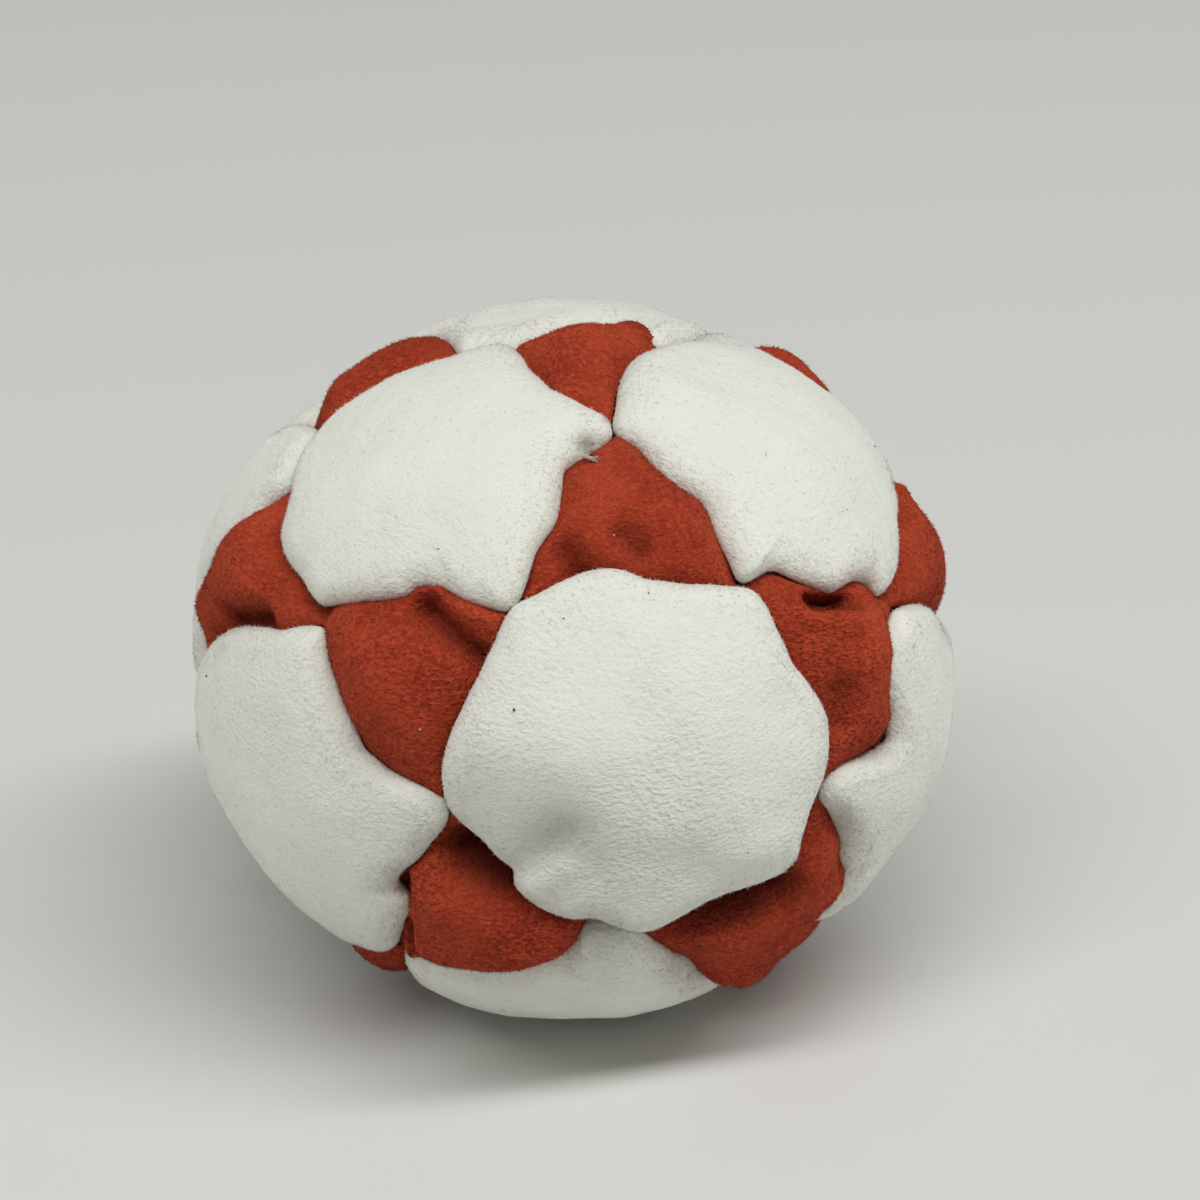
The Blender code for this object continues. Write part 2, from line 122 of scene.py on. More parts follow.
# Folds and swells of the skin, each from a pixel to a pixel with its half-width and its height in mm
RED_FOLDS = (
    ((428, 611), (486, 663), 1.1, -1.7),
    ((417, 590), (440, 588), 0.7, 0.8),
    ((462, 606), (494, 622), 0.9, 0.7),
    ((352, 640), (420, 740), 3.0, 0.3),
    ((464, 857), (512, 882), 2.0, -3.6),
    ((430, 938), (560, 938), 2.4, 1.2),
    ((402, 880), (403, 892), 0.9, -1.6),
    ((406, 920), (414, 940), 0.7, -1.5),
    ((414, 945), (424, 954), 1.0, 0.8),
    ((813, 602), (846, 603), 0.8, -2.8),
    ((800, 617), (828, 624), 1.2, 0.5),
    ((835, 622), (856, 612), 1.1, 0.5),
    ((862, 640), (880, 715), 2.4, 0.7),
    ((835, 690), (838, 722), 1.2, -0.8),
    ((232, 617), (262, 617), 1.0, -1.8),
    ((205, 590), (265, 528), 2.8, 0.8),
    ((308, 585), (318, 606), 1.2, -0.8),
    ((205, 600), (215, 620), 1.6, 0.6),
    ((692, 912), (775, 886), 1.9, -3.6),
    ((705, 966), (760, 966), 2.4, 1.7),
    ((844, 930), (838, 880), 2.5, 1.0),
    ((600, 510), (680, 535), 2.4, 0.3),
    ((566, 550), (576, 566), 1.2, -1.1),
    ((620, 538), (640, 552), 1.2, -1.0),
    ((925, 530), (944, 585), 2.4, 0.25),
    ((896, 462), (903, 482), 1.7, 1.0),
    ((622, 328), (655, 341), 1.9, 0.5),
    ((520, 347), (535, 338), 1.2, 0.6),
    ((300, 410), (345, 362), 5.0, -1.0),
    ((405, 342), (445, 336), 4.0, 1.0),
    ((205, 575), (212, 548), 1.8, 0.5),
    ((228, 528), (252, 512), 1.8, -0.7),
)
WHITE_FOLDS = (
    ((516, 882), (568, 838), 1.9, -0.42),
    ((470, 832), (545, 842), 4.8, -0.6),
    ((570, 856), (660, 880), 3.6, -0.35),
    ((528, 893), (562, 874), 1.3, 0.45),
    ((462, 742), (590, 765), 3.6, 0.55),
    ((760, 850), (790, 845), 2.6, 0.4),
    ((586, 436), (594, 449), 0.55, -1.1),
)
RED_FOLD_LEVEL = -1.0 * MM
WHITE_FOLD_LEVEL = 0.2 * MM

# Panels that swell more than their kind, in mm
MORE_CROWN = {"red_panel_10": 1.0, "red_panel_04": 0.3, "red_panel_05": 0.3}

# Where a hidden edge draws back from the one that the photograph shows, or reaches further where the value
# is negative: a pixel and how far, in mm
EDGE_PULLS = {
    "white_panel_03": (((785, 340), -1.0), ((822, 372), -0.9)),
    "white_panel_08": (((905, 470), 4.2), ((800, 352), 2.0)),
    "white_panel_07": (((735, 326), 0.9), ((418, 338), 1.8)),
    "white_panel_06": (((195, 738), -1.6),),
    "white_panel_11": (((197, 600), 2.6),),
}

# Darkened spots: stains, and painted shade in the pocket and the hole at the closing stitch and in a shadowed
# hollow beside a red tip: a pixel, a radius in mm and how strong the darkening is, from 0 to 1
WHITE_STAINS_AND_SHADES = (
    # painted shade in the pocket beside the closing stitch
    ((587, 441), 0.5, 0.6),
    # painted shade in the hole where the closing stitch comes out
    ((589, 449), 0.3, 1.0),
    ((597, 443), 0.1, 0.7),
    ((606, 419), 0.2, 0.6),
    # painted shadow on a white panel beside a red panel's blunt tip
    ((595, 935), 1.3, 0.45),
    ((680, 968), 1.1, 0.3),
    ((842, 822), 1.0, 0.5),
    ((408, 950), 0.8, 0.3),
)
RED_STAINS_AND_SHADES = (
    # painted shade in the hole where the closing stitch comes out, on the red side
    ((589, 454), 0.3, 1.0),
    ((430, 600), 0.5, 0.4),
)

# The closing stitch's thread: a pixel and a level in mm, from inside the seam to its cut end
STITCH_ROUTE = (
    ((600, 438), -2.6), ((592, 443), -1.6), ((585, 447), -0.9), ((583, 450), -0.6),
    ((586, 452), -0.5), ((592, 454), -0.48), ((599, 456), -0.42),
)

# Grains caught in the nap: a pixel and a size in mm
DARK_GRAINS = (
    ((647, 595), 0.10), ((564, 620), 0.09), ((515, 709), 0.14), ((551, 761), 0.09), ((511, 740), 0.07),
    ((446, 783), 0.08), ((441, 552), 0.10), ((869, 451), 0.10), ((399, 540), 0.07), ((237, 766), 0.08),
    ((214, 676), 0.12), ((648, 838), 0.07), ((744, 848), 0.08), ((762, 459), 0.07), ((842, 513), 0.07),
)
PALE_GRAINS = (
    ((391, 662), 0.24), ((386, 659), 0.14), ((421, 729), 0.12), ((614, 536), 0.10), ((343, 641), 0.07),
)

FULL_TURN = 2 * math.pi
SMOOTH_WIDTHS = 3


def unit(vectors):
    """Vectors divided by their lengths."""
    return vectors / np.linalg.norm(vectors, axis=-1, keepdims=True)


def bell(distance, width):
    """A bell curve, 1 at no distance: e to the power of minus half the square of distance over width."""
    return np.exp(-0.5 * (distance / width) ** 2)


def round_angles(count):
    """Angles that divide a full turn into equal steps."""
    return np.arange(count) * FULL_TURN / count


# The panels' lengths and numbers: a name, a label, words, and the defaults of the white and the red panels
PANEL_LENGTHS = (
    ("crown", "Crown", "Level of the middle", 0.6 * MM, 0.45 * MM),
    ("shoulder", "Shoulder", "Level where the edge starts to roll", -0.3 * MM, -1.5 * MM),
    ("roll_width", "Roll width", "Width of the rolled edge", 1.9 * MM, 1.2 * MM),
    ("roll_drop", "Roll drop", "Fall of the roll to its widest line", 1.15 * MM, 0.4 * MM),
    ("tuck_width", "Tuck width", "Width of the tuck below the roll", 0.75 * MM, 0.15 * MM),
    ("tuck_drop", "Tuck drop", "Height of the tuck below the roll", 0.55 * MM, 0.5 * MM),
    ("thickness", "Thickness", "Thickness of the suede", 0.8 * MM, 0.8 * MM),
    ("undulation", "Undulation", "Height of the slack skin's waves", 0.1 * MM, 0.18 * MM),
    ("nap_length", "Nap length", "Length of the raised fibres", 0.2 * MM, 0.26 * MM),
)
PANEL_NUMBERS = (
    ("nap_density", "Nap density", "Raised fibres on a square millimetre of a rolled edge", 16.0, 20.0),
    ("open_nap_share", "Open nap", "Share of that density away from the edges", 0.12, 0.7),
)
PANEL_SEEDS = (1, 5)


def panel_properties(kind):
    """The properties of one kind of panel with its defaults. Kind 0 is white and kind 1 is red."""
    made = {"seed": IntProperty(name="Seed", description="Start of the waves", default=PANEL_SEEDS[kind])}
    for name, label, words, *values in PANEL_LENGTHS:
        made[name] = FloatProperty(name=label, description=words, default=values[kind], unit="LENGTH")
    for name, label, words, *values in PANEL_NUMBERS:
        made[name] = FloatProperty(name=label, description=words, default=values[kind])
    return made


class WhiteSizes(bpy.types.PropertyGroup):
    """How the white panels are shaped. Levels count from the bag's round outline."""

    __annotations__ = panel_properties(0)


class RedSizes(bpy.types.PropertyGroup):
    """How the red panels are shaped: they lie lower than the white ones, roll over less and have more nap."""

    __annotations__ = panel_properties(1)


class FootbagSettings(bpy.types.PropertyGroup):
    """Sizes and colours that a user would change."""

    white: PointerProperty(type=WhiteSizes, name="White", description="Sizes of the white panels")
    red: PointerProperty(type=RedSizes, name="Red", description="Sizes of the red panels")
    stitch_level: FloatProperty(
        name="Stitch level", description="Level of the allowances' ends", default=-3.3 * MM, unit="LENGTH"
    )
    white_colour: FloatVectorProperty(
        name="White suede", description="Colour of the white nap", subtype="COLOR", default=(0.77, 0.775, 0.7)
    )
    red_colour: FloatVectorProperty(
        name="Red suede", description="Colour of the red nap", subtype="COLOR", default=(0.43, 0.055, 0.021)
    )
    floor_colour: FloatVectorProperty(
        name="Floor", description="Colour of the floor", subtype="COLOR", default=(0.66, 0.66, 0.63)
    )
    key_power: FloatProperty(
        name="Key lamp", description="Power of the long lamp above the front", default=15.9, unit="POWER"
    )
    overhead_power: FloatProperty(
        name="Overhead lamp", description="Power of the broad lamp overhead", default=0.35, unit="POWER"
    )
    left_power: FloatProperty(
        name="Left lamp", description="Power of the faint lamp on the left", default=2.5, unit="POWER"
    )
    right_power: FloatProperty(
        name="Right lamp", description="Power of the faint lamp on the right", default=3.1, unit="POWER"
    )
    sky_strength: FloatProperty(
        name="Sky strength", description="Strength of the light from all round", default=0.12
    )


def pixel_rays(pixels):
    """Directions from the camera through pixels of the photograph, each one unit long along its axis."""
    sine = math.sin(CAMERA_ELEVATION)
    cosine = math.cos(CAMERA_ELEVATION)
    right = np.array([1.0, 0.0, 0.0])
    up = np.array([0.0, sine, cosine])
    forward = np.array([0.0, cosine, -sine])
    across = (np.asarray(pixels, float) - PHOTO_PIXELS / 2) / FOCAL_PIXELS
    return forward + across[..., :1] * right - across[..., 1:] * up


def camera_place():
    """The point from which the bag's middle shows at its pixel, at the camera's distance."""
    return BAG_MIDDLE - pixel_rays(BAG_MIDDLE_PIXEL) * CAMERA_DISTANCE


def directions_of_pixels(pixels, level=0.0):
    """Directions from the bag's middle to where the pixels' rays first meet a level above its round outline.

    A ray that passes it by takes the nearest point of the outline."""
    start = (camera_place() - BAG_MIDDLE) / (HALF_SIZES + level)
    rays = pixel_rays(pixels) / (HALF_SIZES + level)
    square = (rays * rays).sum(-1)
    approach = (rays * start).sum(-1)
    outside = (start * start).sum() - 1
    root = np.sqrt(np.maximum(approach * approach - square * outside, 0.0))
    return unit(start + rays * ((-approach - root) / square)[..., None])


def outline_points(directions):
    """Points of the bag's round outline in these directions from its middle."""
    return BAG_MIDDLE + directions * HALF_SIZES


def bag_points(directions, levels):
    """Points at a level above the round outline, pressed flat where they would pass the floor."""
    outward = unit(directions / HALF_SIZES)
    points = directions * HALF_SIZES + outward * np.asarray(levels)[..., None]
    rise = points[..., 2] + BAG_MIDDLE[2]
    blended = (rise + PRESSED_EDGE) ** 2 / (4 * PRESSED_EDGE)
    points[..., 2] = np.where(rise > PRESSED_EDGE, rise, np.where(rise < -PRESSED_EDGE, 0.0, blended))
    return points


def pixel_point(pixel, level):
    """The point at a level above the place of the round outline that shows at a pixel."""
    return bag_points(directions_of_pixels(pixel), level)


def node_points(name):
    """The points of a node of the frame, in its own coordinates."""
    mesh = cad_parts[name].data
    places = np.empty(len(mesh.vertices) * 3, np.float32)
    mesh.vertices.foreach_get("co", places)
    return places.reshape(-1, 3).astype(float)


def panel_middles(names):
    """Directions of the panels' middles: the means of their nodes' points."""
    means = np.array([node_points(name).mean(0) for name in names])
    return unit((means - BAG_MIDDLE) / HALF_SIZES)


def smoothed_round(values, width):
    """A closed row of values, each the mean of its neighbours weighted by a bell of that many places."""
    span = int(SMOOTH_WIDTHS * width) + 1
    weights = bell(np.arange(-span, span + 1), width)
    weights /= weights.sum()
    padded = np.concatenate([values[-span:], values, values[:span]])
    return np.convolve(padded, weights, "valid")


WAVE_COUNT = 28
WAVE_PULL_SHARES = (0.7, 1.35)


class Waves:
    """A smooth random field: a sum of waves with random directions, whose lengths lie near one length."""

    def __init__(self, seed, length, count=WAVE_COUNT):
        random = np.random.default_rng(seed)
        self.pulls = unit(random.normal(size=(count, 3))) * FULL_TURN / length
        self.pulls *= random.uniform(*WAVE_PULL_SHARES, (count, 1))
        self.starts = random.uniform(0, FULL_TURN, count)
        self.scale = math.sqrt(2 / count)

    def at(self, points):
        """The sum of the waves' cosines at points, scaled to a spread of about 1."""
        flat = points.reshape(-1, 3)
        return (np.cos(flat @ self.pulls.T + self.starts).sum(1) * self.scale).reshape(points.shape[:-1])


ROUND_STEPS = 720
ROUND_ANGLES = round_angles(ROUND_STEPS)
OFF_AXIS = (0.31, 0.45, 0.84)


class Plan:
    """Where a panel lies: its middle, two directions across it, and its edge's reach at ROUND_ANGLES."""

    def __init__(self, name, middle):
        self.name = name
        self.middle = middle
        self.first = unit(np.cross(middle, OFF_AXIS))
        self.second = np.cross(middle, self.first)
        self.reach = None
        self.corners = ()

    def across(self, angles):
        """Directions square to the middle's, at angles round it."""
        return np.cos(angles)[..., None] * self.first + np.sin(angles)[..., None] * self.second

    def directions(self, angles, reaches):
        """Directions at angles round the middle and reaches along the skin."""
        bend = np.asarray(reaches) / SKIN_RADIUS
        return np.cos(bend)[..., None] * self.middle + np.sin(bend)[..., None] * self.across(angles)

    def outward(self, angles, reaches):
        """Directions along the skin, away from the middle, at angles and reaches."""
        bend = np.asarray(reaches) / SKIN_RADIUS
        return np.cos(bend)[..., None] * self.across(angles) - np.sin(bend)[..., None] * self.middle

    def polar(self, directions):
        """Angles round the middle and reaches along the skin of directions."""
        bend = np.arccos(np.clip(directions @ self.middle, -1, 1))
        angles = np.arctan2(directions @ self.second, directions @ self.first) % FULL_TURN
        return angles, bend * SKIN_RADIUS

    def reach_at(self, angles):
        """The edge's reach at angles, read between those of ROUND_ANGLES."""
        return np.interp(angles, ROUND_ANGLES, self.reach, period=FULL_TURN)

    def edge(self):
        """Directions of the edge at ROUND_ANGLES."""
        return self.directions(ROUND_ANGLES, self.reach)


def turn_from(angle):
    """How far each of ROUND_ANGLES lies from an angle, at most half a turn either way."""
    return np.angle(np.exp(1j * (ROUND_ANGLES - angle)))


SOLID_SEAM_LEVEL = -1.5 * MM
SEAM_LEVEL_SPAN = 0.12 * MM
EDGE_WAVE = 1.0 * MM
EDGE_WAVE_TURNS = (6, 7, 9, 11, 13)
EDGE_WAVE_STARTS = (0, 6.3)
CORNER_ROUND_STEPS = 5


def solid_reach(plan, seed):
    """The reach of a panel's edge through its solid's points at the seam's level, and a little wavy: each
    wave's height is EDGE_WAVE times a random number, over its number of turns."""
    places = (node_points(plan.name) - BAG_MIDDLE) / HALF_SIZES
    levels = (np.linalg.norm(places, axis=1) - 1) * SKIN_RADIUS
    rim = np.abs(levels - SOLID_SEAM_LEVEL) < SEAM_LEVEL_SPAN
    angles, reaches = plan.polar(unit(places[rim]))
    order = np.argsort(angles)
    reach = np.interp(ROUND_ANGLES, angles[order], reaches[order], period=FULL_TURN)
    random = np.random.default_rng(seed)
    for turns in EDGE_WAVE_TURNS:
        height = EDGE_WAVE * random.normal() / turns
        reach += height * np.cos(turns * ROUND_ANGLES + random.uniform(*EDGE_WAVE_STARTS))
    return smoothed_round(reach, CORNER_ROUND_STEPS)


LEAN_LIMIT = 0.94
FACING_LIMIT = math.radians(-42)


def reach_of_pixels(plan, pixels, sizes):
    """Angles and reaches of an outline seen in the photograph.

    What the camera sees of a rolled edge is its limb, so the widest line lies beyond it by what the roll
    hides where the skin turns away from the camera, or short of it where the skin turns towards it."""
    seen = directions_of_pixels(pixels)
    angles, reaches = plan.polar(seen)
    sight = unit(outline_points(seen) - camera_place())
    lean = np.arcsin(np.clip((plan.outward(angles, reaches) * sight).sum(-1), -LEAN_LIMIT, LEAN_LIMIT))
    away = np.maximum(lean, 0.0)
    hidden = sizes.roll_width * (1 - np.cos(away))
    level = sizes.shoulder - sizes.roll_drop * (1 - np.sin(away))
    return angles, reaches + hidden - level * np.tan(np.maximum(lean, FACING_LIMIT))


OUTLINE_ROUND_STEPS = 3
FADE_ANGLE = math.radians(22)
PULL_ANGLE = math.radians(13)


def drawn_back(plan):
    """How far a panel's pulls draw its edge back at ROUND_ANGLES: each is a bell round its pixel."""
    back = np.zeros(ROUND_STEPS)
    for pixel, pull in EDGE_PULLS.get(plan.name, ()):
        angle = plan.polar(directions_of_pixels(pixel))[0]
        back += pull * MM * bell(turn_from(angle), PULL_ANGLE)
    return back


def seen_reach(plan, regular, sizes):
    """The regular reach, replaced by the photographed outline where the photograph shows one. An open
    outline goes over to the regular reach past its two ends, by a smooth step within FADE_ANGLE."""
    back = drawn_back(plan)
    regular = regular - back
    pixels = WHITE_OUTLINE_PIXELS.get(plan.name)
    if pixels is None:
        return regular
    angles, reaches = reach_of_pixels(plan, pixels, sizes)
    order = np.argsort(angles)
    angles, reaches = angles[order], reaches[order]
    seen = np.interp(ROUND_ANGLES, angles, reaches, period=FULL_TURN)
    if plan.name in CLOSED_OUTLINES:
        return smoothed_round(seen - back, OUTLINE_ROUND_STEPS)
    gaps = np.diff(np.append(angles, angles[0] + FULL_TURN))
    widest = int(np.argmax(gaps))
    following = (widest + 1) % len(angles)
    past = (ROUND_ANGLES - angles[widest]) % FULL_TURN
    before = (angles[following] - ROUND_ANGLES) % FULL_TURN
    hidden = past < gaps[widest]
    fade = np.where(past < before, past, before) / FADE_ANGLE
    keep = np.where(hidden, np.clip(1 - fade, 0, 1), 1.0)
    offsets = reaches - np.interp(angles, ROUND_ANGLES, regular)
    offset = np.where(past < before, offsets[widest], offsets[following])
    reach = np.where(hidden, regular + offset * keep**2 * (3 - 2 * keep), seen)
    return smoothed_round(reach, OUTLINE_ROUND_STEPS)


RED_UNDER = 0.35 * MM
RED_TIP = 0.35 * MM
RED_ROUND_STEPS = 2
NEAR_EDGE_SHARE = 0.6
EDGE_SPREAD = 2
CORNER_CAP_ANGLE = math.radians(24)
CORNER_NEARNESS = math.cos(math.radians(11))


def corner_between(one, other):
    """The direction midway between two white panels' edges where they come closest, near their corner."""
    corner = unit(one.middle + other.middle)
    near = [edge[edge @ corner > CORNER_NEARNESS] for edge in (one.edge(), other.edge())]
    alike = near[0] @ near[1].T
    first, second = np.unravel_index(np.argmax(alike), alike.shape)
    return unit(near[0][first] + near[1][second])


def red_reach(plan, whites):
    """How far a red panel reaches: to just under the white panels' edges, and no further than its corners."""
    reach = np.full(ROUND_STEPS, np.inf)
    for white in whites:
        angles, reaches = plan.polar(white.edge())
        near = reaches < NEAR_EDGE_SHARE * SKIN_RADIUS
        places = np.round(angles[near] / FULL_TURN * ROUND_STEPS).astype(int) % ROUND_STEPS
        for shift in range(-EDGE_SPREAD, EDGE_SPREAD + 1):
            np.minimum.at(reach, (places + shift) % ROUND_STEPS, reaches[near])
    for angle, cap in zip(*plan.polar(np.array(plan.corners))):
        capped = np.minimum(reach, cap + RED_TIP)
        reach = np.where(np.abs(turn_from(angle)) < CORNER_CAP_ANGLE, capped, reach)
    known = np.isfinite(reach)
    reach = np.interp(ROUND_ANGLES, ROUND_ANGLES[known], reach[known], period=FULL_TURN)
    return smoothed_round(reach + RED_UNDER, RED_ROUND_STEPS)


FOLD_BELL_SHARE = 0.6


def fold_field(folds, level, points):
    """The sum of the folds' heights at points: each a bell across the line between its two ends."""
    height = np.zeros(points.shape[:-1])
    for start, end, half_width, rise in folds:
        ends = outline_points(directions_of_pixels((start, end), level))
        along = ends[1] - ends[0]
        share = np.clip(((points - ends[0]) @ along) / (along @ along), 0, 1)
        off = np.linalg.norm(points - ends[0] - share[..., None] * along, axis=-1)
        height += rise * MM * bell(off, half_width * MM * FOLD_BELL_SHARE)
    return height


def stain_and_shade_field(stains_and_shades, points):
    """The strongest spot's share at points on the camera's side, for stains and for spots of painted shade.
    Each spot is a bell off its pixel's ray.
    """
    camera = camera_place()
    shown = (points - BAG_MIDDLE) @ (camera - BAG_MIDDLE) > 0
    share = np.zeros(points.shape[:-1])
    for pixel, radius, strength in stains_and_shades:
        off = np.linalg.norm(np.cross(points - camera, unit(pixel_rays(pixel))), axis=-1)
        share = np.maximum(share, strength * shown * bell(off, radius * MM))
    return share


# Dents beside the corners of the red panels that the photograph doesn't show, and the swell of their middles:
# the shares of the middle in a dent's place, how far each is scattered, and depths, widths and heights in mm
DENT_PLACE_SHARES = (0.3, 0.8)
DENT_SCATTER = 0.08
DENT_DEPTHS = (0.0, 1.2)
DENT_WIDTHS = (0.8, 1.5)
SWELL_SCATTER = 0.05
SWELL_HEIGHTS = (0.1, 0.6)
SWELL_WIDTH = 2.6


def hidden_folds(plan, points, seed):
    """Folds for a red panel that the photograph doesn't show: dents beside its corners and a soft swell."""
    random = np.random.default_rng(seed)
    height = np.zeros(points.shape[:-1])
    for corner in plan.corners:
        toward = corner + plan.middle * random.uniform(*DENT_PLACE_SHARES) + random.normal(0, DENT_SCATTER, 3)
        off = np.linalg.norm(points - outline_points(unit(toward)), axis=-1)
        height -= random.uniform(*DENT_DEPTHS) * MM * bell(off, random.uniform(*DENT_WIDTHS) * MM)
    toward = plan.middle + random.normal(0, SWELL_SCATTER, 3)
    off = np.linalg.norm(points - outline_points(unit(toward)), axis=-1)
    return height + random.uniform(*SWELL_HEIGHTS) * MM * bell(off, SWELL_WIDTH * MM)


MEMBRANE_TURNS = 14
MEMBRANE_GRID = 12
LEAST_TERM_SHARE = 1e-6


class Membrane:
    """A sheet held along a panel's edge and pushed out by an even pressure, 1 high at its highest point.

    Its level is a sum of terms s^k cos(k angle) and s^k sin(k angle), chosen by least squares so that it
    equals s^2 along the edge, less s^2 everywhere: the sheet's curvature is then the same all over."""

    def __init__(self, plan):
        self.size = plan.reach.max()
        edge = plan.reach / self.size
        waves = self.waves(ROUND_ANGLES, edge)
        self.terms = np.linalg.lstsq(waves, edge**2, rcond=LEAST_TERM_SHARE)[0]
        few_angles = ROUND_ANGLES[::MEMBRANE_GRID]
        angles, shares = np.meshgrid(few_angles, np.linspace(0, 1, MEMBRANE_GRID), indexing="ij")
        self.top = self.raw(angles, shares * edge[::MEMBRANE_GRID, None]).max()

    def waves(self, angles, shares):
        """The terms' values at angles and at shares of the size."""
        turns = np.arange(1, MEMBRANE_TURNS + 1)
        growth = shares[..., None] ** turns
        bent = angles[..., None] * turns
        ones = np.ones(angles.shape + (1,))
        return np.concatenate([ones, growth * np.cos(bent), growth * np.sin(bent)], -1)

    def raw(self, angles, shares):
        """The sheet's level before it is scaled."""
        return self.waves(angles, shares) @ self.terms - shares**2

    def at(self, angles, reaches):
        """The sheet's level at angles and reaches, from 0 at the edge to 1."""
        return np.clip(self.raw(angles, reaches / self.size) / self.top, 0.0, 1.0)


def mesh_piece(name, points, faces, material, attributes, normals=None):
    """A mesh object from an array of points and one of faces, each with four corners or with three and -1.
    Where normals are given, a point whose normal isn't zero is shaded with it."""
    mesh = bpy.data.meshes.new(name)
    mesh.vertices.add(len(points))
    mesh.vertices.foreach_set("co", np.ascontiguousarray(points, np.float32).ravel())
    sizes = np.where(faces[:, 3] < 0, 3, 4)
    corners = faces.ravel()[faces.ravel() >= 0]
    mesh.loops.add(len(corners))
    mesh.loops.foreach_set("vertex_index", corners.astype(np.int32))
    mesh.polygons.add(len(faces))
    starts = np.concatenate([[0], np.cumsum(sizes)[:-1]])
    mesh.polygons.foreach_set("loop_start", starts.astype(np.int32))
    mesh.polygons.foreach_set("loop_total", sizes.astype(np.int32))
    mesh.update(calc_edges=True)
    mesh.validate()
    for title, values in attributes.items():
        attribute = mesh.attributes.new(title, "FLOAT", "POINT")
        attribute.data.foreach_set("value", np.ascontiguousarray(values, np.float32).ravel())
    mesh.shade_smooth()
    if normals is not None:
        mesh.normals_split_custom_set_from_vertices(normals)
    mesh.materials.append(material)
    piece = bpy.data.objects.new(name, mesh)
    bpy.context.scene.collection.objects.link(piece)
    return piece


def ring_faces(rows, around):
    """Faces of a closed body of rings between two poles: point 0, then the rings in order, then the last."""
    step = np.arange(around)
    after = (step + 1) % around
    none = np.full(around, -1)
    faces = [np.stack([0 * step, 1 + step, 1 + after, none], 1)]
    for row in range(rows - 1):
        near, far = 1 + row * around, 1 + (row + 1) * around
        faces.append(np.stack([near + step, far + step, far + after, near + after], 1))
    last = 1 + (rows - 1) * around
    faces.append(np.stack([last + step, 0 * step + last + around, last + after, none], 1))
    return np.concatenate(faces)


def counted_on(faces, shift):
    """Faces whose corners are counted on by a shift, with each -1 left as it is."""
    return np.where(faces >= 0, faces + shift, -1)


FIBRE_ROOT = 0.03 * MM
FIBRE_WIDTH = 0.026 * MM
FIBRE_LENGTH_SHARES = (0.5, 1.3)
FIBRE_RISE_SHARES = (0.35, 1.1)
FIBRE_SCATTER = 0.55
FLOW_LENGTH = 7.0 * MM
FLOW_WAVES = 10
TRIANGLES = ((0, 1, 3), (1, 2, 3), (2, 0, 3), (0, 2, 1))


def fibres(points, normals, length, seed):
    """Corners and faces of closed three-sided spikes, one on each point. Each leans off the skin's normal
    along a nap that turns slowly over the panel, and its length and lean vary."""
    random = np.random.default_rng(seed)
    count = len(points)
    flow = np.stack([Waves(seed + place, FLOW_LENGTH, FLOW_WAVES).at(points) for place in range(3)], 1)
    lean = unit(flow + random.normal(0, FIBRE_SCATTER, (count, 3)))
    lean -= (lean * normals).sum(1, keepdims=True) * normals
    ways = unit(normals * random.uniform(*FIBRE_RISE_SHARES, (count, 1)) + lean)
    lengths = length * random.uniform(*FIBRE_LENGTH_SHARES, (count, 1))
    side = unit(np.cross(ways, random.normal(size=(count, 3))))
    other = np.cross(ways, side)
    corners = []
    for angle in round_angles(3):
        around = math.cos(angle) * side + math.sin(angle) * other
        corners.append(points - ways * FIBRE_ROOT + around * FIBRE_WIDTH)
    corners.append(points + ways * lengths)
    places = np.stack(corners, 1).reshape(-1, 3)
    places[:, 2] = np.maximum(places[:, 2], 0.0)
    first = np.arange(count)[:, None] * 4
    none = np.full((count, 1), -1)
    faces = [np.concatenate([first + np.array([triangle]), none], 1) for triangle in TRIANGLES]
    return places, np.concatenate(faces)


SKIN_ROWS = 50
ROLL_ROWS = 11
TUCK_ROWS = 5
OUTER_ROWS = SKIN_ROWS + ROLL_ROWS + TUCK_ROWS
ALLOWANCE_ROWS = 2
INNER_ROWS = 14
STEEPEST_SQUARE = 3.0
ROLL_LIMIT_SHARE = 0.6
WIDEST_KEEP_SHARE = 0.35
INNER_LOSS_SHARE = 0.9
INNER_LOSS_POWER = 6
# Share of seam grime and painted shade at the roll's widest line
SEAM_SHARE = 0.5
# Painted shade in the creases: its strongest share, and the depth at which it is reached
CREASE_SHADE_SHARE = 0.85
FULL_CREASE_SHADE_DEPTH = 2.2 * MM
FINE_WAVES = (9.0 * MM, 3.6 * MM, 1.3 * MM)
FINE_SHARES = (1.0, 0.3, 0.06)


def even_angles(plan, count):
    """Angles that divide a panel's edge into stretches of one length."""
    step = ROUND_ANGLES[1]
    lengths = np.hypot(np.gradient(plan.reach) / step, plan.reach) * step
    walked = np.concatenate([[0], np.cumsum((lengths + np.roll(lengths, -1)) / 2)])
    return np.interp(np.arange(count) / count * walked[-1], walked, np.append(ROUND_ANGLES, FULL_TURN))


def row_shares(count):
    """Equal steps up to 1, one for each row."""
    return np.arange(1, count + 1)[:, None] / count


